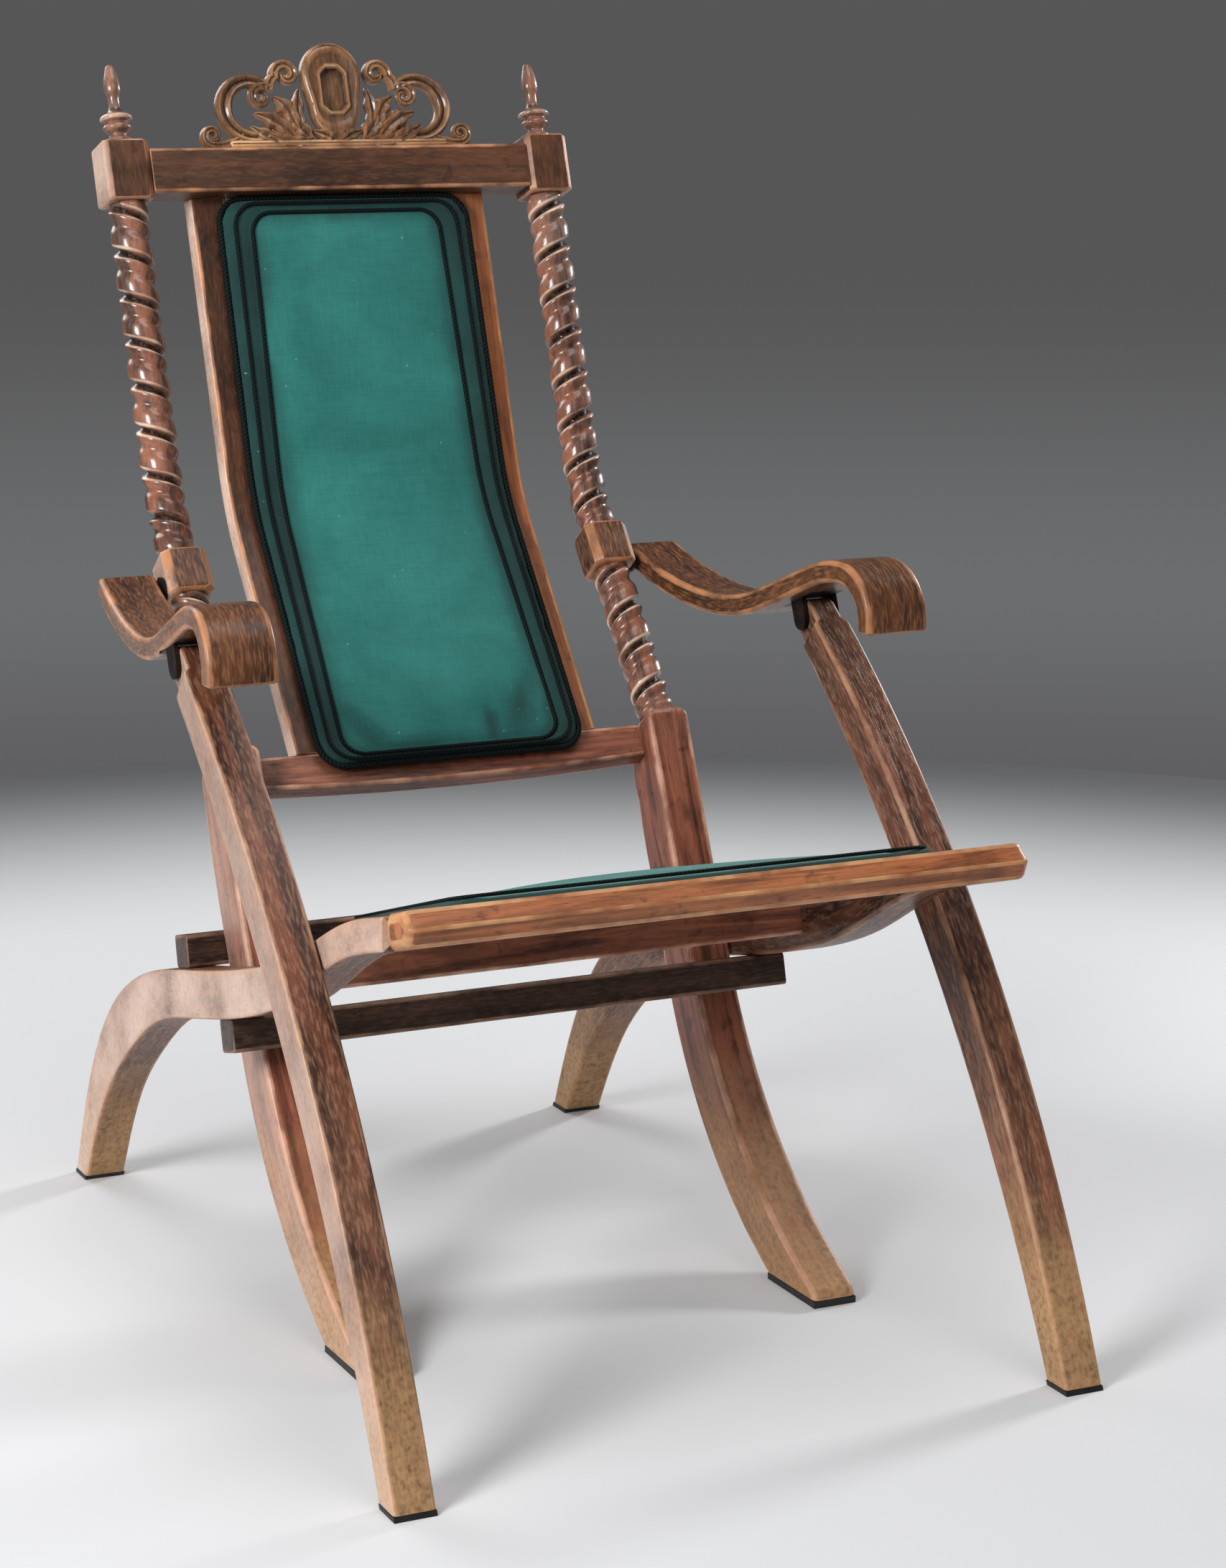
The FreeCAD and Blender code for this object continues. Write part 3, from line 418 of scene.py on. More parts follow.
def felt(name, slot, deep, mid, pale, threads):
    """Cloth and its slot: it fades from mid to pale, with slubs, border and painted shade in deep, and lint."""
    material, tree, shader = new_material(name, Roughness=0.92, Sheen_Weight=0.08, Sheen_Roughness=0.5)
    place = tree.vector("grain")
    cloth = tree.group(weave, {"Place": place, "Threads": threads})
    # Painted shade: a pad's hollow attribute darkens the cloth along its seam and strokes, broken up by noise.
    shade_breakup = tree.step(tree.noise(place, SHADE_BREAKUP_NOISE, 3.0, 0.5), *SHADE_BREAKUP_RANGE)
    layers = [(tree.times(tree.step(cloth["Slubs"], *SLUB_RANGE), SLUB_SHARE), deep),
              (tree.times(tree.value("band"), BAND_SHARE), deep),
              (tree.times(tree.value("hollow"), shade_breakup), deep), (tree.times(cloth["Lint"], LINT_SHARE), LINT)]
    colour = tree.mix(tree.step(tree.noise(place, SUN_NOISE, 4.0, 0.6), *SUN_RANGE), mid, pale)
    for share, layer in layers:
        colour = tree.mix(share, colour, layer)
    height = tree.plus(cloth["Threads"], tree.times(cloth["Slubs"], SLUB_HEIGHT))
    tree.give(shader, Base_Color=colour, Normal=tree.bump(height, 0.3, 0.0005))
    return material, slot


weave = make_weave()
green_cloth = felt("green_cloth", "green_cloth", seen(4, 30, 30), seen(26, 104, 98), seen(44, 130, 122),
                   2600.0)
linen = felt("linen", "canvas", seen(92, 78, 56), seen(150, 132, 100), seen(176, 158, 122), 2100.0)
print("cloth finishes:", green_cloth[0].name, linen[0].name)

# %% [markdown]
# The cord that edges the pads is twisted from two dark strands. They could be modelled, but at five
# millimetres nobody sees more than their ridges, so the cord's bump is a wave that climbs round it. Iron
# and foot pads are plain hard surfaces with a little noise in colour, gloss and bump.

# %% Cord, iron and foot pads
IRON_GLOSS, IRON_SCUFF, FINER = 0.35, 0.3, 6.0


def twisted(name, dark, mid, lay):
    """Strands: sin(2 pi (length / lay) + 2 angle), with the angle from the cord's own cross directions."""
    material, tree, shader = new_material(name, Roughness=0.75, Specular_IOR_Level=0.2)
    along = tree.split(tree.vector("grain"))
    angle = tree.math("ARCTAN2", along[2], along[1])
    wave = tree.plus(tree.times(along[0], 2 * np.pi / lay), tree.times(angle, 2.0))
    strands = tree.step(tree.math("SINE", wave), -0.9, 0.6)
    tree.give(shader, Base_Color=tree.mix(strands, dark, mid), Normal=tree.bump(strands, 0.8, 0.0008))
    return material


def dull(name, dark, pale, scale, **constants):
    """Plain hard surface: slow noise in the colour, finer noise in the roughness and the bump."""
    material, tree, shader = new_material(name, **constants)
    place = tree.place()
    fine = tree.noise(place, scale * FINER, 4.0)
    tree.give(shader, Base_Color=tree.mix(tree.step(tree.noise(place, scale, 5.0), 0.35, 0.7), dark, pale),
              Roughness=tree.math("MULTIPLY_ADD", fine, IRON_SCUFF, IRON_GLOSS),
              Normal=tree.bump(fine, 0.4, 0.0004))
    return material


dark_cord = (twisted("dark_cord", seen(2, 6, 6), seen(8, 24, 23), 0.004), "dark_cord")
iron = dull("iron", seen(24, 19, 17), seen(58, 44, 37), 90.0, Metallic=0.7)
black_pad = dull("black_pad", seen(14, 13, 13), seen(30, 28, 27), 70.0)
print("cord and hard finishes:", dark_cord[0].name, iron.name, black_pad.name)

# %% [markdown]
# Hinges, bolts, washers and foot pads already have their right shape in the frame. They could be modelled
# once more, but nothing would look better, so they keep it and only get a finish. The pegs inside the
# joints stay in the wood, where nobody sees them.

# %% Pieces that keep the frame's shape
kept = {"iron": iron, "foot_pad": black_pad, "brown_wood": frame_wood[0]}
slot_of = {row["node"]: row["material_slot"] for row in frame["record"]["subparts"]}
hard_nodes = sorted(node for node in frame["nodes"]
                    if slot_of[node] in ("iron", "foot_pad") or node.endswith("dowels"))
for node in hard_nodes:
    holder = frame["nodes"][node].material_slots[0]
    holder.link = "OBJECT"
    holder.material = kept[slot_of[node]]
print("kept from the frame:", hard_nodes)

# %% [markdown]
# The back follows one line: it leans far back above the seat, bends, and stands up straighter to the
# head. The posts, the stiles and the pad all share it. A curve object could hold that line, but a curve's
# bevel can't be carved. So lines are arrays of (y, z) points, seen from the side, made of straight runs
# and of bends with a given radius, each beginning where the last one ended.

# %% The line of the back
BACK_FOOT = np.array([0.1692, 0.4732])
LOWER_LEAN, UPPER_LEAN = 38.7, 18.4
LOWER_RUN, UPPER_RUN = 0.222, 0.288
BEND_RADIUS = 0.220


def ray(degrees):
    """Unit (y, z) direction at an angle from +Y towards +Z: (cos a, sin a)."""
    turn = np.radians(degrees)
    return np.stack([np.cos(turn), np.sin(turn)], -1)


def left_of(direction):
    """A quarter turn to the left: (y, z) becomes (-z, y)."""
    return np.stack([-direction[..., 1], direction[..., 0]], -1)


def measure(line):
    """Length travelled at each point: the running sum of the distances between neighbours."""
    return np.r_[0.0, np.cumsum(np.linalg.norm(np.diff(line, axis=0), axis=1))]


def trace(start, heading, runs, count=48):
    """Line of straight runs (length,) and bends (radius, turn): each run starts where the last one ended."""
    spot = np.asarray(start, float)
    lines = [spot[None]]
    share = np.linspace(0.0, 1.0, count)[1:, None]
    for run in runs:
        if len(run) == 1:
            points = spot + ray(heading) * run[0] * share
        else:
            radius, turn = run
            side = np.sign(turn)
            centre = spot + left_of(ray(heading)) * side * radius
            points = centre - left_of(ray(heading + turn * share[:, 0])) * side * radius
            heading = heading + turn
        lines.append(points)
        spot = points[-1]
    return np.concatenate(lines)


def back_run(below=0.0, short=0.0):
    """The back line, begun a little below its foot and ended a little short of its head."""
    return trace(BACK_FOOT - low_up * below, 90.0 - LOWER_LEAN,
                 [(LOWER_RUN + below,), (BEND_RADIUS, LOWER_LEAN - UPPER_LEAN), (UPPER_RUN - short,)])


low_up, head_up = ray(90.0 - LOWER_LEAN), ray(90.0 - UPPER_LEAN)
low_fore, head_fore = left_of(low_up), left_of(head_up)
back_line = back_run()
back_length = measure(back_line)[-1]
head = back_line[-1]
post_x = np.mean([corner[0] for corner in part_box("right_finial")])
print("back line is", round(back_length, 3), "m long, post at x", round(post_x, 3))

# %% [markdown]
# The posts are turned and carved: a chamfered head block, a barley twist shaft, a block for the arm, a
# short second twist, and below it the flat that sweeps forward into a sabre foot. A Screw modifier can
# make a twist on a straight axis, but this shaft bends with the back, so the twist is worked out round
# the line. Its phase is length / lead + angle / turn, and the radius falls into a narrow groove once a
# turn, with a shallow cove between a broad bulge and a thin bead.

# %% Twisted shafts
ACROSS = np.array([1.0, 0.0, 0.0])
TWIST_RADIUS, TWIST_LEAD, TWIST_STEP, TWIST_SINK = 0.019, 0.0425, 0.0013, 0.002
GROOVE_DEPTH, GROOVE_WIDTH, GROOVE_DIRT = 0.38, 0.078, (0.22, 0.85)
COVE_DEPTH, COVE_PLACE, COVE_WIDTH = 0.20, 0.62, 0.14
# The lips beside each groove are painted pale, partly as rubbed wear and partly as a painted highlight.
LIPS, LIP_WEAR_AND_HIGHLIGHT = ((0.13, 0.06), (0.88, 0.05)), 1.05
COLLAR, COLLAR_CUT = 0.010, 0.10
HEAD_HALF, HEAD_HEIGHT, HEAD_SINK = 0.0225, 0.058, 0.004
ARM_BLOCK_HALF, ARM_BLOCK_HEIGHT, ARM_BLOCK_RISE = 0.022, 0.046, 0.187


def pick(line, lengths, at):
    """The rows of an array at given lengths, with linear steps between its points."""
    return np.stack([np.interp(at, lengths, column) for column in np.asarray(line).T], -1)


def heading_of(line):
    """Unit tangents from the differences of neighbouring points."""
    step = np.gradient(line, axis=0)
    return step / np.linalg.norm(step, axis=1, keepdims=True)


def in_space(line, x=0.0):
    """Side-view points or directions (y, z) as (x, y, z)."""
    line = np.asarray(line, float)
    across = np.broadcast_to(np.asarray(x, float)[..., None], line.shape[:-1] + (1,))
    return np.concatenate([across, line], -1)


def smooth(value, low, high):
    """Smooth step from 0 at low to 1 at high: 3 t^2 - 2 t^3."""
    t = np.clip((value - low) / (high - low), 0.0, 1.0)
    return t * t * (3.0 - 2.0 * t)


def bell(value, middle, width):
    """Bell curve: exp(-((value - middle) / width)^2)."""
    return np.exp(-((value - middle) / width) ** 2)


def tube(line, wide, deep, across, depth, edge=0.0, hollow=0.0, lengths=None):
    """Round tube: P(s) + wide * across(s, a) * cos a + deep * depth(s, a) * sin a, over a full turn of a."""
    angle = np.linspace(0.0, 2 * np.pi, across.shape[1], endpoint=False)
    u, w = across * np.cos(angle), depth * np.sin(angle)
    points = line[:, None] + wide * u[..., None] + deep * w[..., None]
    lengths = measure(line) if lengths is None else lengths
    grain = np.stack([np.broadcast_to(lengths[:, None], u.shape), u, w], -1)
    return part(points, grain, edge, hollow)


def barley_twist(start, end, columns=72):
    """Twisted shaft between two lengths of the back line: r = R (1 - groove - cove), plain at the collars."""
    at = np.linspace(start, end, int((end - start) / TWIST_STEP))
    centre = pick(back_line, measure(back_line), at)
    fore = left_of(heading_of(centre))
    angle = np.linspace(0.0, 2 * np.pi, columns, endpoint=False)
    phase = np.mod(at[:, None] / TWIST_LEAD + angle / (2 * np.pi), 1.0)
    groove = bell(np.minimum(phase, 1.0 - phase), 0.0, GROOVE_WIDTH)
    cut = GROOVE_DEPTH * groove + COVE_DEPTH * bell(phase, COVE_PLACE, COVE_WIDTH)
    shaft = (smooth(at, start, start + COLLAR) * smooth(at, end, end - COLLAR))[:, None]
    radius = TWIST_RADIUS * (1.0 - shaft * cut - (1.0 - shaft) * COLLAR_CUT)
    rub = sum(bell(phase, place, width) for place, width in LIPS)
    return tube(in_space(centre, post_x), ACROSS, in_space(fore)[:, None], radius, radius,
                edge=LIP_WEAR_AND_HIGHLIGHT * rub * shaft, hollow=smooth(groove, *GROOVE_DIRT) * shaft, lengths=at)


arm_block_top = ARM_BLOCK_RISE + ARM_BLOCK_HEIGHT / 2
upper_twist = barley_twist(arm_block_top - TWIST_SINK, back_length - HEAD_SINK - HEAD_HEIGHT / 2 + TWIST_SINK)
lower_twist = barley_twist(0.0, ARM_BLOCK_RISE - ARM_BLOCK_HEIGHT / 2 + TWIST_SINK)
add_pair("SIDE_upper_twist", [upper_twist], "back_frame", turned_wood, ["SIDE_post"])
add_pair("SIDE_lower_twist", [lower_twist], "back_frame", turned_wood)
turns = (back_length - arm_block_top) / TWIST_LEAD
print("upper twist:", upper_twist["points"].shape, "turns:", round(turns, 1))

# %% [markdown]
# A worn timber has no sharp edge. A cube with a Bevel modifier would do for a straight rail, but most
# timbers of this chair bend and change in width. So one helper carries a rounded section along a line,
# and rails, legs, arms, blocks, pads and straps all come from it. It also marks the corners and ends,
# which hands have rubbed, and the face that looks outwards, which the wood paints paler as side light.

# %% Sections carried along a line
SQUARE = ((1, 1), (-1, 1), (-1, -1), (1, -1))
FLAT_SHARES = np.array([0.92, 0.72, 0.5, 0.28, 0.08])
CORNER_NEAR, CORNER_RUB = 0.4, 0.25
END_STEPS, END_INNER = 5, 0.6
ROUNDEST, OUTWARDS = 0.9, 0.7


def section(corners=SQUARE, steps=5):
    """Convex outline with rounded corners: each turns from one side's normal to the next in equal steps.

    A point is corner * (half size - radius) + radius * normal, so the same section fits every half size.
    """
    corners = np.asarray(corners, float)
    sides = np.roll(corners, -1, axis=0) - corners
    normal = np.arctan2(-sides[:, 0], sides[:, 1])
    core, lean, wear = [], [], []
    for index, corner in enumerate(corners):
        start = normal[index - 1]
        turn = np.mod(normal[index] - start, 2 * np.pi)
        angle = start + turn * np.linspace(0.0, 1.0, steps)
        core.append(np.tile(corner, (steps, 1)))
        lean.append(np.stack([np.cos(angle), np.sin(angle)], -1))
        wear.append(np.ones(steps))
        following = corners[(index + 1) % len(corners)]
        core.append(corner * FLAT_SHARES[:, None] + following * (1.0 - FLAT_SHARES)[:, None])
        lean.append(np.tile(lean[-1][-1], (len(FLAT_SHARES), 1)))
        wear.append(np.where(np.abs(FLAT_SHARES - 0.5) > CORNER_NEAR, CORNER_RUB, 0.0))
    return np.concatenate(core), np.concatenate(lean), np.concatenate(wear)


def bar(line, wide, deep, half_wide, half_deep, corner, end, count=70, shape=None, side=0.0):
    """Rounded bar: P(s) + wide(s) * u(t) + deep(s) * w(t), with (u, w) a section that shrinks at both ends.

    At an end the half sizes lose end * (1 - sin a) after end * (1 - cos a) of line, a quarter circle.
    """
    core, lean, wear = shape or section()
    lengths = measure(line)
    total = lengths[-1]
    first, last = np.broadcast_to(end, 2)
    turn = np.linspace(0.0, np.pi / 2, END_STEPS)
    lead, shrink = 1.0 - np.cos(turn), 1.0 - np.sin(turn)
    middle = np.linspace(first, total - last, count)[1:-1]
    at = np.concatenate([[0.0], first * lead, middle, total - last * lead[::-1], [total]])
    cut = np.concatenate([[first], first * shrink, np.zeros(count - 2), last * shrink[::-1], [last]])
    centre = pick(line, lengths, at)
    wide, deep = (pick(np.broadcast_to(axis, line.shape), lengths, at) for axis in (wide, deep))
    sizes = [np.interp(at, lengths, np.broadcast_to(size, len(line))) - cut
             for size in (half_wide, half_deep)]
    radius = np.minimum(corner, ROUNDEST * np.minimum(*sizes))[:, None]
    u, w = ((sizes[k][:, None] - radius) * core[:, k] + radius * lean[:, k] for k in (0, 1))
    inner = np.ones((len(at), 1))
    inner[[0, -1]] = END_INNER
    u, w = u * inner, w * inner
    points = centre[:, None] + wide[:, None] * u[..., None] + deep[:, None] * w[..., None]
    grain = np.stack([np.broadcast_to(at[:, None], u.shape), u, w], -1)
    edge = np.maximum(wear, (cut > 0.0)[:, None])
    edge[[0, -1]] = 0.0
    # Painted highlight: faces that look outwards across the chair carry the side strength, painted paler.
    return part(points, grain, edge, 0.0, side * (lean[:, 0] > OUTWARDS))


print("section of", len(section()[0]), "points")

# %% [markdown]
# Blocks are short bars whose section has flat chamfers instead of round corners, so it takes two steps
# per corner. The flat and sabre foot could be cut from a board by its outline. Here it is a bar between
# two side-view edges, front and rear, because a bar keeps its corners round and its grain along the
# curve, as the bent one has it.

# %% Blocks and sabre feet
CHAMFERED = section(steps=2)
# The last value is how strongly the outer faces are painted pale, as a painted highlight.
HEAD_CHAMFER, ARM_BLOCK_CHAMFER, CHAMFER_END, BLOCK_SIDE_HIGHLIGHT = 0.005, 0.007, 0.6, 0.6
FLAT_DEPTH, FLAT_SWELL = 0.052, 0.0052
SABRE_FRONT = [(0.066, 0.296), (-0.021, 0.145), (-0.191, 0.014)]
SABRE_REAR = [(0.124, 0.293), (0.044, 0.130), (-0.106, 0.006)]
SABRE_TOE = (-0.195, 0.006)
# The last value is how strongly the outer faces are painted pale, as a painted highlight.
SABRE_ROUND, SABRE_ENDS, SABRE_SIDE_HIGHLIGHT = 0.004, (0.010, 0.002), 0.3
PAD_MARGIN = 0.0002
EDGE_POINTS = 240
post_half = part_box("sabre_foot_pads")[1][0] - post_x + PAD_MARGIN


def block(middle, up, half, height, chamfer):
    """Chamfered block centred on the post, with its long side along the back line."""
    line = in_space(middle + up * np.linspace(-height / 2, height / 2, 9)[:, None], post_x)
    return bar(line, ACROSS, in_space(left_of(up)), half, half, chamfer, chamfer * CHAMFER_END, 12, CHAMFERED,
               BLOCK_SIDE_HIGHLIGHT)


def arc_through(first, middle, last, count=72):
    """Circle through three points: the centre is equally far from each, and the angle passes the middle."""
    a, b, c = (np.asarray(p, float) for p in (first, middle, last))
    p, q = b - a, c - a
    cross = 2.0 * (p[0] * q[1] - p[1] * q[0])
    offset = np.array([q[1] * p.dot(p) - p[1] * q.dot(q), p[0] * q.dot(q) - q[0] * p.dot(p)]) / cross
    centre = a + offset
    start, end = (np.arctan2(*(p - centre)[::-1]) for p in (a, c))
    side = np.sign(cross)
    total = np.mod(side * (end - start), 2 * np.pi) * side
    angle = start + total * np.linspace(0.0, 1.0, count)
    return centre + np.linalg.norm(offset) * np.stack([np.cos(angle), np.sin(angle)], -1)


def resample(line, count):
    """The same line with evenly spaced points."""
    lengths = measure(line)
    return pick(line, lengths, np.linspace(0.0, lengths[-1], count))


def between(front, rear, x, half_wide, corner, side, end=0.0015, count=110):
    """Bar whose front and rear edges are two side-view lines: its middle and depth follow both."""
    front, rear = resample(front, EDGE_POINTS), resample(rear, EDGE_POINTS)
    span = front - rear
    size = np.linalg.norm(span, axis=1)
    return bar(in_space((front + rear) / 2, x), ACROSS, in_space(span / size[:, None]), half_wide, size / 2,
               corner, end, count, side=side)


head_block = block(head - head_up * HEAD_SINK, head_up, HEAD_HALF, HEAD_HEIGHT, HEAD_CHAMFER)
arm_block = block(BACK_FOOT + low_up * ARM_BLOCK_RISE, low_up, ARM_BLOCK_HALF, ARM_BLOCK_HEIGHT,
                  ARM_BLOCK_CHAMFER)
flat_front, flat_rear = (BACK_FOOT + low_fore * FLAT_DEPTH / 2 * side for side in (1, -1))
swell = (flat_rear + SABRE_REAR[0]) / 2 + (FLAT_SWELL, 0.0)
front_edge = np.concatenate([np.linspace(flat_front, SABRE_FRONT[0], 30), arc_through(*SABRE_FRONT)[1:],
                             [SABRE_TOE]])
rear_edge = np.concatenate([arc_through(flat_rear, swell, SABRE_REAR[0], 30), arc_through(*SABRE_REAR)[1:]])
sabre_leg = between(front_edge, rear_edge, post_x, post_half, SABRE_ROUND, SABRE_SIDE_HIGHLIGHT, SABRE_ENDS)
add_pair("SIDE_head_block", [head_block], "back_frame", dark_wood)
add_pair("SIDE_arm_block", [arm_block], "back_frame", arm_wood)
add_pair("SIDE_sabre_leg", [sabre_leg], "back_frame", frame_wood)
print("sabre leg from", np.round(flat_front, 3), "to", SABRE_TOE)

# %% [markdown]
# A finial is turned on a lathe, so it is a profile of radius against height, spun round the post's line.
# The Screw modifier would spin one too, but it knows nothing of dirt in the necks and rubbed rings, which
# are worked out from the same profile here. The profile is a smooth spline through the rings and necks
# that a turner would mark.

# %% Finials
FINIAL = [(0.0, 0.0125), (0.0040, 0.0128), (0.0065, 0.0096), (0.0090, 0.0086), (0.0120, 0.0116),
          (0.0155, 0.0137), (0.0190, 0.0120), (0.0205, 0.0112), (0.0225, 0.0142), (0.0250, 0.0155),
          (0.0275, 0.0138), (0.0300, 0.0086), (0.0340, 0.0060), (0.0410, 0.0053), (0.0460, 0.0058),
          (0.0500, 0.0072), (0.0570, 0.0078), (0.0650, 0.0067), (0.0720, 0.0050), (0.0765, 0.0030),
          (0.0778, 0.0006)]
NECK_RADIUS, NECK_FADE, NECK_TOP, NECK_DIRT = 0.0095, 0.003, 0.034, 0.8
RING_RADII, RING_RUB = (0.0125, 0.0150), 0.9


def spline_through(points, count=200):
    """Natural cubic spline on chord length: its second derivatives solve a three-diagonal system."""
    spots = np.asarray(points, float)
    knots = measure(spots)
    gap = np.diff(knots)
    slope = np.diff(spots, axis=0) / gap[:, None]
    system = np.eye(len(spots))
    inner = np.arange(1, len(spots) - 1)
    system[inner, inner - 1] = gap[:-1]
    system[inner, inner] = 2.0 * (gap[:-1] + gap[1:])
    system[inner, inner + 1] = gap[1:]
    known = np.zeros_like(spots)
    known[1:-1] = 6.0 * np.diff(slope, axis=0)
    bend = np.linalg.solve(system, known)
    at = np.linspace(0.0, knots[-1], count)
    k = np.clip(np.searchsorted(knots, at) - 1, 0, len(gap) - 1)
    t, h = (at - knots[k])[:, None], gap[k][:, None]
    first = slope[k] - h * (2.0 * bend[k] + bend[k + 1]) / 6.0
    return spots[k] + t * first + t ** 2 * bend[k] / 2.0 + t ** 3 * (bend[k + 1] - bend[k]) / (6.0 * h)


profile = spline_through(FINIAL, 150)
rise, radius = profile[:, :1], profile[:, 1:]
finial_foot = head + head_up * (HEAD_HEIGHT / 2 - HEAD_SINK)
ring = np.broadcast_to(np.abs(radius), (len(profile), 40))
neck = smooth(NECK_RADIUS - radius, 0.0, NECK_FADE) * (rise < NECK_TOP)
finial = tube(in_space(finial_foot + head_up * rise, post_x), ACROSS, in_space(head_fore), ring, ring,
              edge=RING_RUB * smooth(radius, *RING_RADII), hollow=NECK_DIRT * neck)
add_pair("SIDE_finial_turning", [finial], "back_frame", turned_wood, ["SIDE_finial"])
print("finial", round(profile[-1, 0] * 1000), "mm high")

# %% [markdown]
# The top rail lies between the head blocks and laps over the stiles, which carry the pad. The bottom
# rail's lower edge is cut to a shallow bow, so it is deepest in the middle. Plain bars serve for all of
# them. For the bow, the bar's line rises towards its ends while its height shrinks, which keeps the upper
# edge straight. The two stiles are one wood with painted light: the one on the sitter's left takes the
# lighter wood of the seat's front rail as painted light, and the other the dark wood as painted shade.

# %% Rails and stiles
TOP_RAIL_HEIGHT, TOP_RAIL_DROP, TOP_RAIL_SETBACK, TOP_RAIL_LAP = 0.043, 0.006, 0.0015, 0.011
# The last value is how strongly the outer faces are painted pale, as a painted highlight.
STILE_SETBACK, STILE_DEPTH, STILE_ROUND, STILE_END, STILE_SIDE_HIGHLIGHT = 0.004, 0.020, 0.0035, 0.0008, 0.8
BOTTOM_RAIL_HEIGHT, BOTTOM_RAIL_DEPTH, BOTTOM_RAIL_DROP = 0.038, 0.022, 0.022
BOTTOM_RAIL_BOW, BOTTOM_RAIL_ROUND = 0.006, 0.003
RAIL_ROUND, RAIL_END, RAIL_POINTS = 0.0025, 0.0012, 80


def cross_line(middle, half):
    """Straight line across the chair through a side-view point."""
    return in_space(np.tile(middle, (RAIL_POINTS, 1)), np.linspace(-half, half, RAIL_POINTS))


def cross_bar(name, middle, up, half, half_tall, half_deep, finish, corner=RAIL_ROUND):
    """Straight bar across the chair that stands for the frame's node of that name."""
    add_piece(name + "_timber", [bar(cross_line(middle, half), in_space(up), in_space(left_of(up)), half_tall,
                                     half_deep, corner, RAIL_END)], "back_frame", finish, [name])


rail_mid = head - head_up * TOP_RAIL_DROP
rail_face, rail_back = HEAD_HALF - TOP_RAIL_SETBACK, STILE_SETBACK + TOP_RAIL_LAP
cross_bar("top_rail", rail_mid + head_fore * (rail_face - rail_back) / 2, head_up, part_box("top_rail")[1][0],
          TOP_RAIL_HEIGHT / 2, (rail_face + rail_back) / 2, dark_wood)

bow = BOTTOM_RAIL_BOW * np.linspace(-1.0, 1.0, RAIL_POINTS) ** 2
bottom_mid = BACK_FOOT - low_up * BOTTOM_RAIL_DROP - low_fore * (STILE_SETBACK + BOTTOM_RAIL_DEPTH / 2)
bottom_line = cross_line(bottom_mid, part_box("bottom_rail")[1][0]) + in_space(low_up) * bow[:, None] / 2
bottom_rail = bar(bottom_line, in_space(low_up), in_space(low_fore), (BOTTOM_RAIL_HEIGHT - bow) / 2,
                  BOTTOM_RAIL_DEPTH / 2, BOTTOM_RAIL_ROUND, RAIL_END)
add_piece("bottom_rail_timber", [bottom_rail], "back_frame", frame_wood, ["bottom_rail"])

bottom_top, top_under = BOTTOM_RAIL_DROP - BOTTOM_RAIL_HEIGHT / 2, TOP_RAIL_DROP + TOP_RAIL_HEIGHT / 2
stile_run = back_run(bottom_top, top_under)
stile_fore = left_of(heading_of(stile_run))
stile_line = stile_run - stile_fore * (STILE_SETBACK + STILE_DEPTH / 2)
stile_box = np.array([corner[0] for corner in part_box("right_stile")])
stile = bar(in_space(stile_line, stile_box.mean()), ACROSS, in_space(stile_fore), np.ptp(stile_box) / 2,
            STILE_DEPTH / 2, STILE_ROUND, STILE_END, 110, side=STILE_SIDE_HIGHLIGHT)
add_pair("SIDE_stile_timber", [stile], "back_frame", dark_wood, ["SIDE_stile"])
# Painted light: this stile takes the lighter front rail wood, the other keeps the dark wood as painted shade.
pieces["right_stile_timber"].data.materials[0] = rail_wood[0]
print("stiles at x", np.round(stile_box, 3))

# %% [markdown]
# A seat member is seat rail and rear leg in one serpentine timber. Two splines give its upper and lower
# edge, and a bar between them keeps its grain along the curve. Two stretchers tie the posts together
# below and behind the seat, and the seat members come to rest against them. They lie along the members'
# edges, so their tilt is the slope of the edge where they touch.

# %% Seat members and stretchers
MEMBER_TOP = [(-0.364, 0.449), (-0.285, 0.427), (-0.150, 0.366), (-0.063, 0.337), (0.100, 0.296),
              (0.232, 0.262), (0.345, 0.200), (0.417, 0.112), (0.471, 0.0)]
MEMBER_UNDER = [(-0.364, 0.420), (-0.270, 0.391), (-0.163, 0.334), (-0.060, 0.293), (0.100, 0.251),
                (0.209, 0.219), (0.290, 0.171), (0.364, 0.110), (0.440, 0.0)]
# The last value is how strongly the outer faces are painted pale, as a painted highlight.
MEMBER_ROUND, MEMBER_SIDE_HIGHLIGHT = 0.0035, 0.6
STRETCHER_HEIGHT, STRETCHER_DEPTH, STRETCHER_ROUND = 0.030, 0.034, 0.003
REAR_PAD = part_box("rear_foot_pads")[1][2]


def above(line, level):
    """The part of a line that comes down to the floor, cut off at a height."""
    end = np.argmax(line[:, 1] < level)
    share = (line[end - 1, 1] - level) / (line[end - 1, 1] - line[end, 1])
    return np.concatenate([line[:end], [line[end - 1] + share * (line[end] - line[end - 1])]])


member_box = np.array([corner[0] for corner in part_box("right_seat_member")])
member_top, member_under = spline_through(MEMBER_TOP), spline_through(MEMBER_UNDER)
member = between(above(member_top, REAR_PAD), above(member_under, REAR_PAD), member_box.mean(),
                 np.ptp(member_box) / 2, MEMBER_ROUND, MEMBER_SIDE_HIGHLIGHT)
add_pair("SIDE_seat_timber", [member], "seat_frame", leg_wood, ["SIDE_seat_member"])
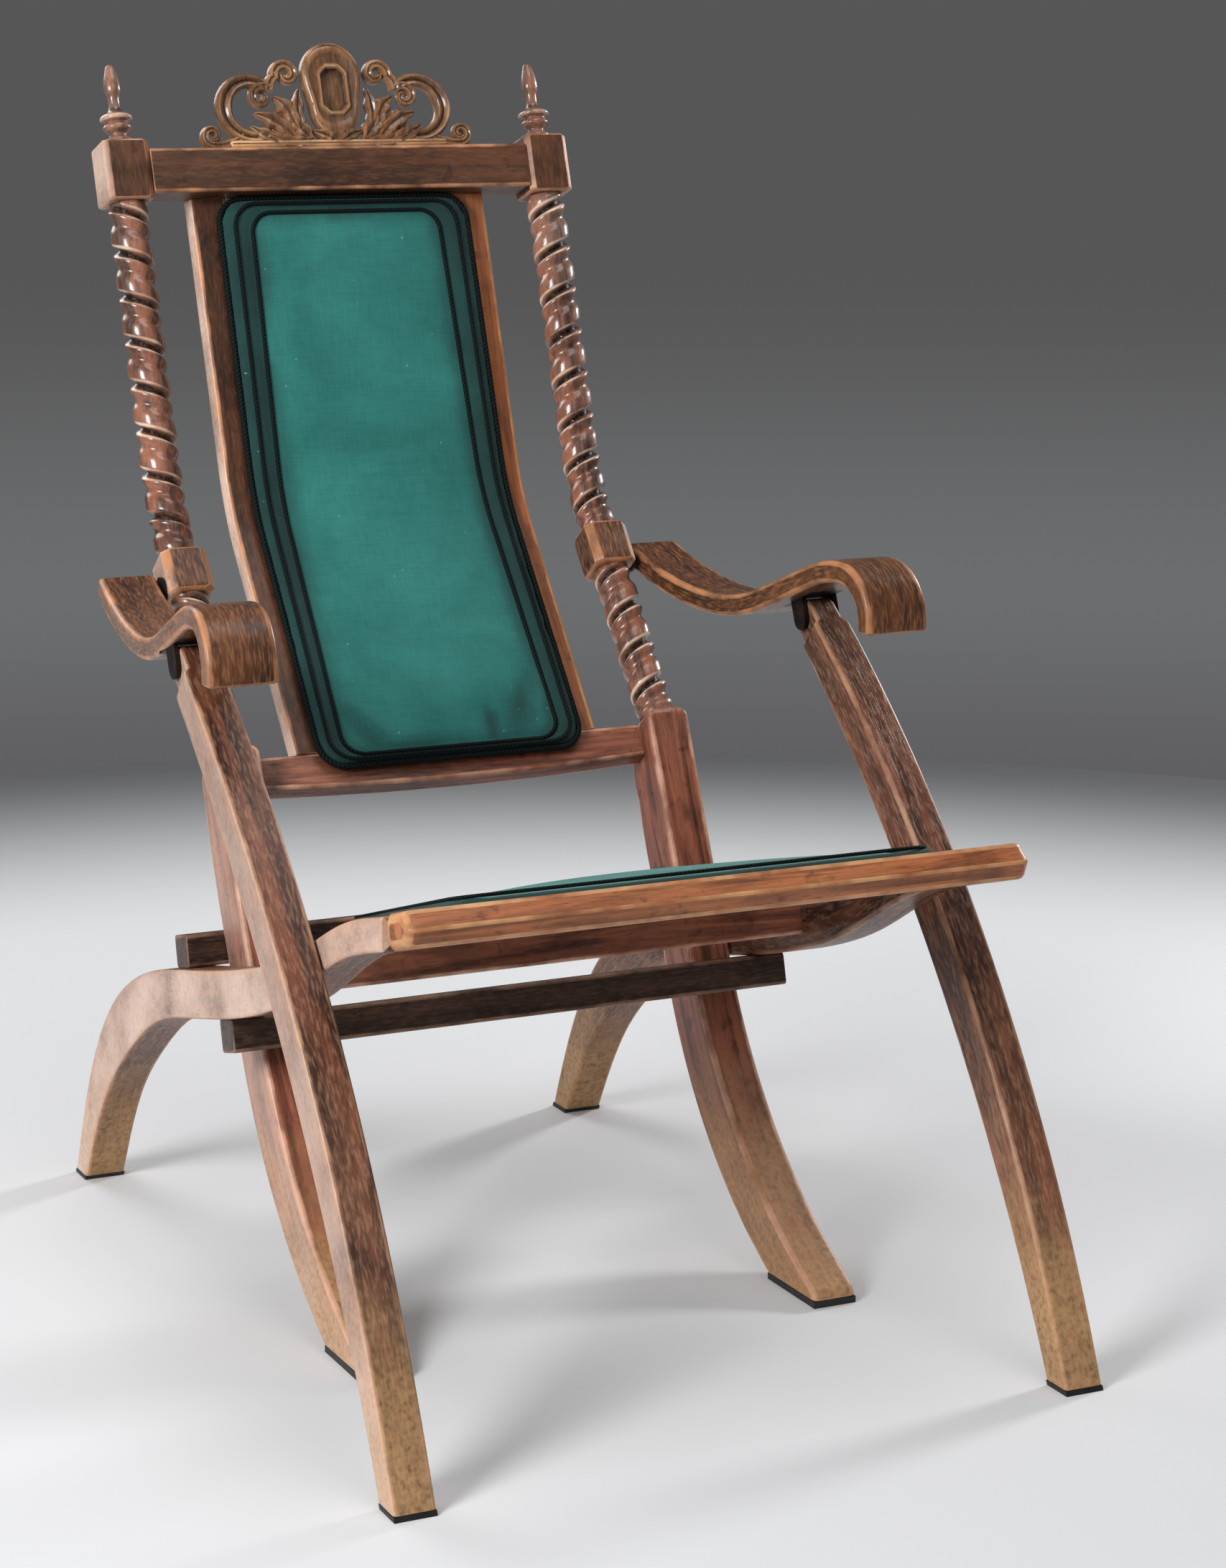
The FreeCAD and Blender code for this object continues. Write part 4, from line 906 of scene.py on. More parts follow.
# The stretchers take the darkest wood, as painted shade under the seat.
for name, edge in (("front_stretcher", member_under), ("rear_stretcher", member_top)):
    low, high = (np.array(corner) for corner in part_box(name))
    middle = (low + high)[1:] / 2
    along = pick(heading_of(edge), edge[:, 0], middle[:1])[0]
    cross_bar(name, middle, left_of(along), high[0], STRETCHER_HEIGHT / 2, STRETCHER_DEPTH / 2, painted_shade_wood,
              STRETCHER_ROUND)
print("seat members at x", np.round(member_box, 3))

# %% [markdown]
# The board across the front of the seat has a nose of two facets that meet in a ridge. Its section is a
# pentagon with rounded corners, which the same bar helper carries. The rear rail of the seat is a plain
# bar. Both follow the slope of the seat, so places on the seat are given by the distance behind the front
# and the height above the straps.

# %% Seat rails
SEAT_SLOPE = 16.0
FRONT_RAIL_DEPTH, FRONT_RAIL_THICK, FRONT_RAIL_ROUND, FRONT_RAIL_END = 0.048, 0.030, 0.0045, 0.008
REAR_RAIL_FRONT, REAR_RAIL_DEPTH, REAR_RAIL_HEIGHT, REAR_RAIL_END = -0.066, 0.024, 0.040, 0.001
STRAP_DROP, STRAP_THICK = 0.0135, 0.0025
NOSED = section([(-1.0, -1.0), (0.66, -1.0), (1.0, -0.12), (0.62, 1.0), (-1.0, 1.0)])
seat_fore, seat_up = ray(180.0 - SEAT_SLOPE), ray(90.0 - SEAT_SLOPE)
rail_corner = np.array(MEMBER_UNDER[0])
seat_origin = rail_corner + (0.0, FRONT_RAIL_THICK / seat_up[1])


def seat_point(back, height):
    """Side-view point so far behind the front rail, down the seat's slope, and so high over the straps."""
    back, height = np.broadcast_arrays(back, height)
    return seat_origin - seat_fore * back[..., None] + seat_up * (height - STRAP_DROP)[..., None]


front_rail_mid = rail_corner + seat_fore * FRONT_RAIL_DEPTH / 2 + seat_up * FRONT_RAIL_THICK / 2
front_rail = bar(cross_line(front_rail_mid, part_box("front_rail")[1][0]), in_space(seat_fore),
                 in_space(seat_up), FRONT_RAIL_DEPTH / 2, FRONT_RAIL_THICK / 2, FRONT_RAIL_ROUND,
                 FRONT_RAIL_END, shape=NOSED)
add_piece("front_rail_timber", [front_rail], "seat_frame", rail_wood, ["front_rail"])
rear_run = (REAR_RAIL_FRONT - seat_origin[0]) / -seat_fore[0]
rear_mid = seat_point(rear_run + REAR_RAIL_DEPTH / 2, -REAR_RAIL_HEIGHT / 2)
rear_rail = bar(cross_line(rear_mid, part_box("rear_rail")[1][0]), in_space(seat_up), in_space(seat_fore),
                REAR_RAIL_HEIGHT / 2, REAR_RAIL_DEPTH / 2, RAIL_ROUND, REAR_RAIL_END)
add_piece("rear_rail_timber", [rear_rail], "seat_frame", frame_wood, ["rear_rail"])
print("seat slopes", SEAT_SLOPE, "degrees from", np.round(seat_origin, 3))

# %% [markdown]
# An arm is a board that dips, rises and rolls over at the front, and in plan it splays outwards and grows
# wider. A flat board could be bent with several modifiers in a row. A bar along a line of bends does it
# at once, and keeps the grain along the board. The line is the same run of bends that the frame's arm
# has, begun at the pin on which the arm turns.

# %% Arms
ARM_THICK, ARM_TAIL, ARM_DIP, ARM_RISE = 0.020, 0.016, 19.6, 21.0
ARM_REAR_RADIUS, ARM_SAG_RADIUS, ARM_CREST_RADIUS, ARM_SCROLL_RADIUS = 0.420, 0.250, 0.131, 0.042
ARM_STRAIGHT, ARM_SCROLL_DROP = 0.0878, 0.008
ARM_REAR_WIDTH, ARM_FRONT_WIDTH, ARM_SPLAY, ARM_WASHER = 0.053, 0.062, 0.036, 0.003
# The last value is how strongly the outer faces are painted pale, as a painted highlight.
ARM_ROUND, ARM_END, ARM_SIDE_HIGHLIGHT = 0.004, 0.003, 0.15
joint_at = {joint["name"]: np.array(joint["pos_m"]) for joint in frame["joints"]}
arm_pin = joint_at["right_arm_fold"][1:]
arm_line = trace(arm_pin - ray(180.0 + ARM_DIP) * ARM_TAIL, 180.0 + ARM_DIP,
                 [(ARM_TAIL,), (ARM_REAR_RADIUS, -ARM_DIP), (ARM_SAG_RADIUS, -ARM_RISE), (ARM_STRAIGHT,),
                  (ARM_CREST_RADIUS, ARM_RISE), (ARM_SCROLL_RADIUS, 90.0), (ARM_SCROLL_DROP,)])
arm_down = left_of(heading_of(arm_line))
rear_y, front_y = arm_pin[0] + 2 * ARM_TAIL, arm_line[-1, 0] - ARM_THICK
forward = (rear_y - arm_line[:, 0]) / (rear_y - front_y)
arm_inner = post_x + ARM_BLOCK_HALF + ARM_WASHER + ARM_SPLAY * forward
arm_outer = arm_inner + ARM_REAR_WIDTH + (ARM_FRONT_WIDTH - ARM_REAR_WIDTH) * forward
arm = bar(in_space(arm_line, (arm_inner + arm_outer) / 2), ACROSS, in_space(arm_down),
          (arm_outer - arm_inner) / 2, ARM_THICK / 2, ARM_ROUND, ARM_END, 150, side=ARM_SIDE_HIGHLIGHT)
add_pair("SIDE_arm_board", [arm], "SIDE_arm", arm_wood, ["SIDE_arm"])
print("arm", round(measure(arm_line)[-1] * 1000), "mm along its curve")

# %% [markdown]
# A front leg is a gently bowed bar. At the top its cheeks are cut back and its end is rounded, so that it
# turns inside the iron fork under the arm. Booleans could make those cuts and would leave messy faces.
# Here the bar's own sizes do it: past the pin, the half depth is the height of a circle round the pin,
# and near it the bar is narrower by the thickness of the fork's lugs.

# %% Front legs
LEG_FEET, LEG_BOWS = (-0.471, -0.440), ((-0.284, 0.327), (-0.250, 0.303))
LEG_TOP_RADIUS, LEG_TOP_LEAN, LEG_TOP_RINGS = 0.017, 52.0, 24
# The last value is how strongly the outer faces are painted pale, as a painted highlight.
LEG_ROUND, LEG_END, LEG_SIDE_HIGHLIGHT = 0.003, 0.0015, 0.35
LUG, LEG_RUN_GAP, CHEEK_STEP = 0.004, 0.0006, 0.001
LEG_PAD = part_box("right_front_foot_pad")[1][2]
leg_pin = joint_at["right_leg_fold"][1:]
leg_up = ray(90.0 - LEG_TOP_LEAN)
leg_box = np.array([corner[0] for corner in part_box("right_front_leg")])
leg_tops = [leg_pin + left_of(leg_up) * LEG_TOP_RADIUS * side for side in (1, -1)]
front, rear = (resample(above(arc_through(top, bend, (foot, 0.0)), LEG_PAD), EDGE_POINTS)
               for top, bend, foot in zip(leg_tops, LEG_BOWS, LEG_FEET))
past = leg_up * np.linspace(LEG_TOP_RADIUS - LEG_RUN_GAP, 0.0, LEG_TOP_RINGS)[:-1, None]
leg_middle = np.concatenate([leg_pin + past, (front + rear) / 2])
leg_span = np.concatenate([np.tile(front[0] - rear[0], (len(past), 1)), front - rear])
leg_size = np.linalg.norm(leg_span, axis=1)
from_pin = np.linalg.norm(leg_middle - leg_pin, axis=1)
leg_half = leg_size / 2
leg_half[:len(past)] = np.sqrt(LEG_TOP_RADIUS ** 2 - from_pin[:len(past)] ** 2)
cheek = LEG_TOP_RADIUS + LUG
leg_wide = np.ptp(leg_box) / 2 - (LUG + LEG_RUN_GAP) * (1.0 - smooth(from_pin, cheek, cheek + CHEEK_STEP))
leg = bar(in_space(leg_middle, leg_box.mean()), ACROSS, in_space(leg_span / leg_size[:, None]), leg_wide,
          leg_half, LEG_ROUND, LEG_END, 190, side=LEG_SIDE_HIGHLIGHT)
add_pair("SIDE_leg_timber", [leg], "SIDE_leg", leg_wood, ["SIDE_front_leg"])
print("leg", round(measure(leg_middle)[-1] * 1000), "mm long")

# %% [markdown]
# The crest is carved and pierced: a cartouche with a sunk panel between two big C scrolls, leaves inside
# the scrolls, small curls on the shoulders and running volutes along the rail. Sculpting it would give
# one fixed lump. A carver thinks in stems, and so does this step. A scroll is a stem carried along a
# spiral, flat behind and grooved in front, and a leaf is a stem that swells, has lobes and ends in a
# point.

# %% Carved stems
CREST_THICK, CREST_BACK = 0.018, 0.42
STEM_GROOVE, STEM_GROOVE_WIDTH, STEM_COLUMNS = 0.35, 0.32, 20
STEM_RIDGE, STEM_RIDGE_WIDTH, STEM_RUB = 0.85, 0.2, 0.85
STEM_DIRT, STEM_DIRT_WIDTH, STEM_DIRT_MOST = 1.6, 0.28, 0.7
LEAF_TIP, LEAF_DEEP, LEAF_GROOVE, LEAF_LOBE = 0.0004, 0.009, 0.45, 0.16
crest_foot = rail_mid + head_up * TOP_RAIL_HEIGHT / 2 + head_fore * (rail_face - CREST_THICK / 2)


def on_crest(flat, depth):
    """Point of the crest's own plane, x across and height above the rail, pushed forward by a depth."""
    side = crest_foot + head_up * flat[..., 1:] + head_fore * np.asarray(depth)[..., None]
    return in_space(side, flat[..., 0])


def spiral(centre, start, end, first, last, count=90):
    """centre + r (cos a, sin a), with the angle from start to end and the radius from first to last."""
    share = np.linspace(0.0, 1.0, count)
    radius = first + (last - first) * share
    return np.asarray(centre) + radius[:, None] * ray(start + (end - start) * share)


def sweep(first, middle, last, count=50):
    """Quadratic curve: (1 - t)^2 a + 2 t (1 - t) b + t^2 c."""
    t = np.linspace(0.0, 1.0, count)[:, None]
    a, b, c = (np.asarray(p) for p in (first, middle, last))
    return (1 - t) ** 2 * a + 2 * t * (1 - t) * b + t ** 2 * c


def stem(path, half, deep, groove=STEM_GROOVE):
    """Carved stem: path + half * cos a in the crest's plane, deep * sin a to the front, less a groove on top.

    A half given as three widths is that of the start, the middle and the end.
    """
    angle = np.linspace(0.0, 2 * np.pi, STEM_COLUMNS, endpoint=False)
    if len(half) == 3:
        half = np.interp(np.linspace(0.0, 1.0, len(path)), [0.0, 0.5, 1.0], half)
    face = np.maximum(np.sin(angle), 0.0)
    dip = 1.0 - groove * bell(np.cos(angle), 0.0, STEM_GROOVE_WIDTH) * (face > 0.0)
    rise = np.sqrt(half / half.max())[:, None]
    depth = np.where(np.sin(angle) > 0.0, deep, CREST_THICK * CREST_BACK) * np.sin(angle) * dip * rise
    flat = path[:, None] + left_of(heading_of(path))[:, None] * (half[:, None] * np.cos(angle))[..., None]
    grain = np.stack([np.broadcast_to(measure(path)[:, None], depth.shape), flat[..., 0], depth], -1)
    dirt = STEM_DIRT * (face > 0.0) * bell(np.cos(angle), 0.0, STEM_DIRT_WIDTH) * groove
    return part(on_crest(flat, depth), grain, STEM_RUB * bell(face, STEM_RIDGE, STEM_RIDGE_WIDTH),
                np.clip(dirt, 0.0, STEM_DIRT_MOST))


def leaf(first, middle, last, half):
    """Pointed leaf with lobes: the half width is half * sin(pi t) ^ 0.8 * (1 + 0.16 cos(6 pi t))."""
    path = sweep(first, middle, last)
    share = np.linspace(0.0, 1.0, len(path))
    lobes = 1.0 + LEAF_LOBE * np.cos(6 * np.pi * share)
    return stem(path, LEAF_TIP + half * np.sin(np.pi * share) ** 0.8 * lobes, LEAF_DEEP, LEAF_GROOVE)


right_carving = [
    stem(spiral((0.0850, 0.0390), -125.0, 138.0, 0.0285, 0.0272), (0.0056, 0.0090, 0.0062), 0.0095, 0.62),
    stem(spiral((0.0735, 0.0500), 140.0, -230.0, 0.0113, 0.0030), (0.0058, 0.0046, 0.0034), 0.0085),
    stem(sweep((0.0655, 0.0565), (0.0655, 0.0665), (0.0560, 0.0720)), (0.0060, 0.0056, 0.0052), 0.0085),
    stem(spiral((0.0465, 0.0720), -10.0, 350.0, 0.0125, 0.0032), (0.0054, 0.0056, 0.0036), 0.0090),
    stem(spiral((0.1275, 0.0125), -95.0, 290.0, 0.0095, 0.0030), (0.0046, 0.0042, 0.0028), 0.0080),
    stem(sweep((0.0960, 0.0120), (0.1120, 0.0015), (0.1275, 0.0032)), (0.0034, 0.0052, 0.0046), 0.0075),
    stem(sweep((0.0700, 0.0150), (0.0500, 0.0010), (0.0260, 0.0080)), (0.0056, 0.0060, 0.0044), 0.0080),
    leaf((0.040, 0.004), (0.058, 0.030), (0.083, 0.0340), 0.0090),
    leaf((0.040, 0.008), (0.043, 0.042), (0.062, 0.0500), 0.0084),
    leaf((0.046, 0.003), (0.072, 0.008), (0.088, 0.0220), 0.0078),
    leaf((0.034, 0.006), (0.043, 0.036), (0.034, 0.0590), 0.0066),
    leaf((0.022, 0.005), (0.046, 0.002), (0.072, 0.0120), 0.0084),
    leaf((0.026, 0.004), (0.036, 0.024), (0.054, 0.0300), 0.0090),
]
print("right half of the crest:", len(right_carving), "stems and leaves")

# %% [markdown]
# The cartouche is a set of closed rings, from the middle of its back, round its edge, over a swelling rim
# and down into the sunk panel. Each ring is an outline scaled about one middle and set at one depth, so
# the rim's profile can be read off the list. The panel's outline is a long octagon, the nearest of its
# eight sides at every angle. A hood runs over the panel, a spray of small leaves stands below it, and a
# low bar ties the whole crest to the rail.

# %% Cartouche and crest
CARTOUCHE = [(0.0, 0.1030), (0.0140, 0.1000), (0.0250, 0.0900), (0.0300, 0.0750), (0.0288, 0.0600),
             (0.0256, 0.0430), (0.0225, 0.0270), (0.0150, 0.0160), (0.0, 0.0125)]
CARTOUCHE_MIDDLE = np.array([0.0, 0.056])
PANEL_WIDE, PANEL_TALL, PANEL_CUT = 0.0120, 0.0205, 0.0064
BRACT_FOOT, BRACT_BEND, BRACT_REACH, BRACT_HALF = np.array([0.0, 0.004]), 0.010, 0.029, 0.0064
BRACT_TURNS = (25.0, 58.0, 90.0, 122.0, 155.0)
FOOT_BAR_HALF, FOOT_BAR_RISE, FOOT_BAR_ROUND = 0.112, 0.0035, 0.003
FOOT_BAR_TALL, FOOT_BAR_DEEP, FOOT_BAR_POINTS = 0.0038, 0.0070, 40
HOOD_MIDDLE, HOOD_RADII, HOOD_TURN = np.array([0.0, 0.0715]), (0.0256, 0.0272), (-14.0, 194.0)
turn = np.linspace(0.0, 2 * np.pi, 96, endpoint=False)
around = np.stack([np.cos(turn), np.sin(turn)], -1)
half_line = spline_through(CARTOUCHE) - CARTOUCHE_MIDDLE
turn_of = np.arctan2(half_line[:, 1], half_line[:, 0])
outer = np.interp(np.arcsin(np.sin(turn)), turn_of[::-1], np.linalg.norm(half_line, axis=1)[::-1])
wide, tall = np.abs(around).T
panel = 1.0 / np.max([wide / PANEL_WIDE, tall / PANEL_TALL,
                      (wide + tall) / (PANEL_WIDE + PANEL_TALL - PANEL_CUT)], axis=0)
# Each ring: its outline, scale and depth, how much it is rubbed and how much dirt it keeps.
rings = [(outer, 0.03, -0.0075, 0.0, 0.0), (outer, 0.90, -0.0075, 0.0, 0.0), (outer, 1.0, -0.0040, 0.3, 0.0),
         (outer, 1.0, 0.0030, 0.5, 0.0), (outer, 0.965, 0.0062, 0.9, 0.0), (outer, 0.90, 0.0080, 0.4, 0.0),
         (outer, 0.82, 0.0084, 0.2, 0.0), (outer, 0.76, 0.0072, 0.0, 0.5), (panel, 1.30, 0.0070, 0.0, 0.45),
         (panel, 1.22, 0.0088, 0.7, 0.0), (panel, 1.12, 0.0090, 0.9, 0.0), (panel, 1.02, 0.0076, 0.4, 0.2),
         (panel, 0.98, 0.0030, 0.0, 0.75), (panel, 0.80, 0.0026, 0.0, 0.5), (panel, 0.40, 0.0034, 0.1, 0.3),
         (panel, 0.03, 0.0038, 0.1, 0.25)]
outline = np.array([shape * scale for shape, scale, *_ in rings])
depth, rub, sunk = (np.array(column)[:, None] for column in list(zip(*rings))[2:])
depth = np.broadcast_to(depth, outline.shape)
flat = CARTOUCHE_MIDDLE + outline[..., None] * around
cartouche = part(on_crest(flat, depth), np.stack([flat[..., 1], flat[..., 0], depth], -1), rub, sunk)
bracts = [leaf(BRACT_FOOT, 2 * BRACT_FOOT + BRACT_BEND * way, BRACT_FOOT + BRACT_REACH * way, BRACT_HALF)
          for way in ray(np.array(BRACT_TURNS))]
foot_line = np.stack([np.linspace(-FOOT_BAR_HALF, FOOT_BAR_HALF, FOOT_BAR_POINTS),
                      np.full(FOOT_BAR_POINTS, FOOT_BAR_RISE)], -1)
foot_bar = bar(on_crest(foot_line, np.zeros(FOOT_BAR_POINTS)), in_space(head_up), in_space(head_fore),
               FOOT_BAR_TALL, FOOT_BAR_DEEP, FOOT_BAR_ROUND, FOOT_BAR_ROUND)
hood = stem(HOOD_MIDDLE + ray(np.linspace(*HOOD_TURN, 90)) * HOOD_RADII, (0.0036, 0.0052, 0.0036), 0.0100,
            0.4)
add_piece("crest_relief", right_carving + mirrored(right_carving) + [cartouche, hood, foot_bar] + bracts,
          "back_frame", crest_wood, ["crest_carving"])
print("crest has", len(pieces["crest_relief"].data.polygons), "faces")

# %% [markdown]
# A pad is a bar with rounded corners in plan, swollen by stuffing. Its cover is sewn down along an inner
# line and at its edge, so it puffs up between them. A smooth formula alone looks like plastic, and a
# sculpted pad can't change its size. So the puff comes from a cloth simulation under pressure: the pad is
# remeshed, held along the seam and the back, and blown up for twenty frames. These helpers place a point
# on the pad: how far across, along and in front of it, and how far inside its outline.

# %% Places on a pad
BORDER = np.array([0.022, 0.031, 0.009, 0.0145])


def plan_corners(lengths, half, radius):
    """Half width with rounded plan corners: near an end it loses R - sqrt(R^2 - (R - s)^2)."""
    short = np.clip(radius - np.minimum(lengths, lengths[-1] - lengths), 0.0, radius)
    return half - radius + np.sqrt(radius ** 2 - short ** 2)


def local(spots, line, fore, lengths):
    """Cloth coordinates of points: x across, length along the pad's line, and height in front of it."""
    nearest = np.argmin(((spots[:, None, 1:] - line[None]) ** 2).sum(-1), axis=1)
    return spots[:, 0], lengths[nearest], ((spots[:, 1:] - line[nearest]) * fore[nearest]).sum(-1), nearest


def inside(u, v, half, length, inset, radius):
    """How far a point lies inside a rounded outline, inset by its sides' two ends, its start and its end."""
    across = np.abs(u) - (half - inset[0] - (inset[1] - inset[0]) * v / length - radius)
    along = np.abs(v - (length + inset[2] - inset[3]) / 2) - ((length - inset[2] - inset[3]) / 2 - radius)
    corner = np.hypot(np.maximum(across, 0.0), np.maximum(along, 0.0))
    return radius - corner - np.minimum(np.maximum(across, along), 0.0)


def near(u, v, first, last):
    """Distance from points to a segment in cloth coordinates, and the share along it."""
    run = np.subtract(last, first)
    share = np.clip(((u - first[0]) * run[0] + (v - first[1]) * run[1]) / run.dot(run), 0.0, 1.0)
    return np.hypot(u - first[0] - share * run[0], v - first[1] - share * run[1]), share


print("border between edge and seam:", BORDER * 1000, "mm")

# %% [markdown]
# The simulation needs even quads, so the pad is remeshed first. The cloth has no weight here, only
# pressure, and its seam and its back are pinned. When it has run, its result is kept as plain points and
# the modifier goes.

# %% Stuffing a pad
VOXEL, FRAMES, PRESSURE = 0.005, 20, 10.0


def read(mesh):
    """The points of a mesh as an array."""
    spots = np.empty(len(mesh.vertices) * 3)
    mesh.vertices.foreach_get("co", spots)
    return spots.reshape(-1, 3)


def evaluated(piece):
    """A piece as its modifiers leave it in this frame."""
    return piece.evaluated_get(bpy.context.evaluated_depsgraph_get())


def remeshed(piece):
    """Even quads of one voxel, so that the cloth bends the same way everywhere."""
    modifier = piece.modifiers.new("even", "REMESH")
    modifier.mode, modifier.voxel_size, modifier.use_smooth_shade = "VOXEL", VOXEL, True
    mesh = bpy.data.meshes.new_from_object(evaluated(piece))
    piece.modifiers.clear()
    piece.data = mesh


def blown_up(piece, held):
    """Where the cloth goes in twenty frames under pressure, without weight, with the held points pinned."""
    group = piece.vertex_groups.new(name="held")
    group.add(np.flatnonzero(held).tolist(), 1.0, "REPLACE")
    cloth = piece.modifiers.new("stuffing", "CLOTH")
    settings = cloth.settings
    settings.use_pressure, settings.uniform_pressure_force = True, PRESSURE
    settings.effector_weights.gravity = 0.0
    settings.vertex_group_mass = group.name
    cloth.point_cache.frame_start, cloth.point_cache.frame_end = 1, FRAMES
    for number in range(1, FRAMES + 1):
        bpy.context.scene.frame_set(number)
    moved = read(evaluated(piece).data)
    piece.modifiers.remove(cloth)
    piece.vertex_groups.remove(group)
    bpy.context.scene.frame_set(1)
    return moved


print("pads are remeshed at", VOXEL * 1000, "mm")

# %% [markdown]
# The same steps serve both pads, so one function makes a pad from its line, its widths and its puff. The
# rise is half simulation and half formula, which keeps the even swell of firm stuffing and the small
# irregularities of cloth. Creases are then laid over it where the real cover has them. The field is painted
# darker along its seam and in the creases, as painted shade, and along a strip near the rear of the seat.

# %% Making a pad
BORDER_ROLL, FIELD_SWELL = 0.36, 0.040
SEAM_DIP, SEAM_WIDTH, SEAM_SHADE, SEAM_SHADE_WIDTH = 0.0014, 0.006, 0.6, 0.022
SEAM_CORNER, BAND_FADE = 0.8, 0.004
PAD_ROUND, PAD_END, PAD_RINGS = 0.42, 0.4, 130
HELD_NEAR, HELD_BACK, FACE_RANGE = 0.7, -0.2, (-0.1, 0.4)


def puffed(piece, start, fore, w, field, rim, thick, puff):
    """How far each point rises: puff * (1 - exp(-field / swell)) inside the seam, a sine over the border.

    Half of it is the simulated way forward, and nothing rises past the puff.
    """
    roll = BORDER_ROLL * np.sin(np.pi * rim / (rim + np.abs(field) + 1e-6))
    rise = np.where(field > 0.0, 1.0 - np.exp(-field / FIELD_SWELL), roll) * puff
    moved = blown_up(piece, (np.abs(field) < VOXEL * HELD_NEAR) | (w < thick * HELD_BACK)) - start
    forward = (moved[:, 1:] * fore).sum(-1)
    return np.clip(0.5 * rise + 0.5 * forward, 0.0, np.where(field > 0.0, 1.0, BORDER_ROLL) * puff)


def make_pad(name, line, half, thick, radius, puff, creases, dark_strokes, body, replaces):
    """Padded piece: bar, remesh, puff in the direction of the face, then creases, darkening and attributes.

    A crease is a segment in cloth coordinates: height * exp(-(distance / width)^2). A dark stroke is the same
    in colour, and the seam is painted darker as shade.
    """
    lengths, length, mean = measure(line), measure(line)[-1], half.mean()
    fore = left_of(heading_of(line))
    solid = bar(in_space(line), ACROSS, in_space(fore), plan_corners(lengths, half, radius), thick / 2,
                thick * PAD_ROUND, thick * PAD_END, PAD_RINGS)
    piece = add_piece(name, [solid], body, green_cloth, replaces)
    remeshed(piece)
    start = read(piece.data)
    u, v, w, nearest = local(start, line, fore, lengths)
    even = u * mean / half[nearest]
    field = inside(even, v, mean, length, BORDER, radius * SEAM_CORNER)
    rim = np.maximum(inside(even, v, mean, length, 0 * BORDER, radius), 0.0)
    rise = puffed(piece, start, fore[nearest], w, field, rim, thick, puff)
    height = rise - SEAM_DIP * bell(field, 0.0, SEAM_WIDTH)
    for first, last, tall, width in creases:
        away, share = near(u, v, first, last)
        height = height + tall * bell(away, 0.0, width) * np.sin(np.pi * np.clip(share, 0.05, 0.95))
    # The field is painted darker just inside its seam, as shade where it is sewn down, and along the strokes.
    pad_darkening = SEAM_SHADE * smooth(field, SEAM_SHADE_WIDTH, 0.0)
    for first, last, width, strength in dark_strokes:
        pad_darkening = np.maximum(pad_darkening, strength * bell(near(u, v, first, last)[0], 0.0, width))
    spots = start.copy()
    spots[:, 1:] += fore[nearest] * (height * smooth(w, *(thick * share for share in FACE_RANGE)))[:, None]
    mesh = piece.data
    mesh.vertices.foreach_set("co", spots.ravel())
    mark(mesh, "grain", np.stack([u, v, np.zeros_like(u)], -1))
    mark(mesh, "hollow", pad_darkening)
    mark(mesh, "band", smooth(field, BAND_FADE, -BAND_FADE))
    mesh.polygons.foreach_set("use_smooth", np.ones(len(mesh.polygons), bool))
    settle(piece, body, green_cloth)
    finer = piece.modifiers.new("finer", "SUBSURF")
    finer.levels = finer.render_levels = 1
    print(name, len(mesh.vertices), "points, puffed by up to", round(float(rise.max()) * 1000, 1), "mm")


print("a pad's border rises to", BORDER_ROLL, "of its puff")

# %% [markdown]
# Dark cords are sewn round each pad: one at its edge, one on the roll of the border and one in the seam.
# A curve with a round bevel would draw such a cord too. As a tube of points it carries the length and the
# angle that its twisted finish reads, and it follows the pad's own line and widths.

# %% Sewing on cords
CORNER_POINTS, CORD_POINTS, CORD_COLUMNS = 40, 420, 12


def cord_round(line, half, inset, radius, height, thick):
    """Closed cord on a pad: a rounded outline in cloth coordinates, inset like the border, at a height."""
    lengths = measure(line)
    inset = np.broadcast_to(inset, 4)
    turn = np.concatenate([np.linspace(90.0 * k, 90.0 * (k + 1), CORNER_POINTS) for k in range(4)])
    sign = np.repeat([(1, 1), (-1, 1), (-1, -1), (1, -1)], CORNER_POINTS, axis=0)
    size = np.array([half.mean() - inset[:2].mean(), (lengths[-1] - inset[2:].sum()) / 2])
    flat = (0.0, size[1] + inset[2]) + sign * (size - radius) + radius * ray(turn)
    flat = resample(np.concatenate([flat, flat[:1]]), CORD_POINTS + 1)[:-1]
    v = np.clip(flat[:, 1], 0.0, lengths[-1])
    out = pick(left_of(heading_of(line)), lengths, v)
    widen = (np.interp(v, lengths, half) - np.interp(v, (0.0, lengths[-1]), inset[:2])) / size[0]
    centre = in_space(pick(line, lengths, v) + out * height, flat[:, 0] * widen)
    tangent = np.roll(centre, -1, axis=0) - np.roll(centre, 1, axis=0)
    side = np.cross(tangent, in_space(out))
    side /= np.linalg.norm(side, axis=1, keepdims=True)
    ring = np.full((len(centre), CORD_COLUMNS), thick / 2)
    return dict(tube(centre, side[:, None], in_space(out)[:, None], ring, ring), closed=True)


def sew_cords(cords, line, half, corner, body):
    """Cords of one pad, from rows of name, inset, share of the pad's corner, height, thickness and nodes."""
    for name, inset, share, height, thick, replaces in cords:
        cord = cord_round(line, half, inset, corner * share, height, thick)
        add_piece(name, [cord], body, dark_cord, replaces)


print("cords have", CORD_POINTS, "rings of", CORD_COLUMNS, "points")

# %% [markdown]
# The back pad hangs on the stiles from the bottom rail to the top rail and grows a little narrower
# upwards. The cloth has a diagonal crease low on one side, a few short tucks and one faint pleat that
# runs up the field.

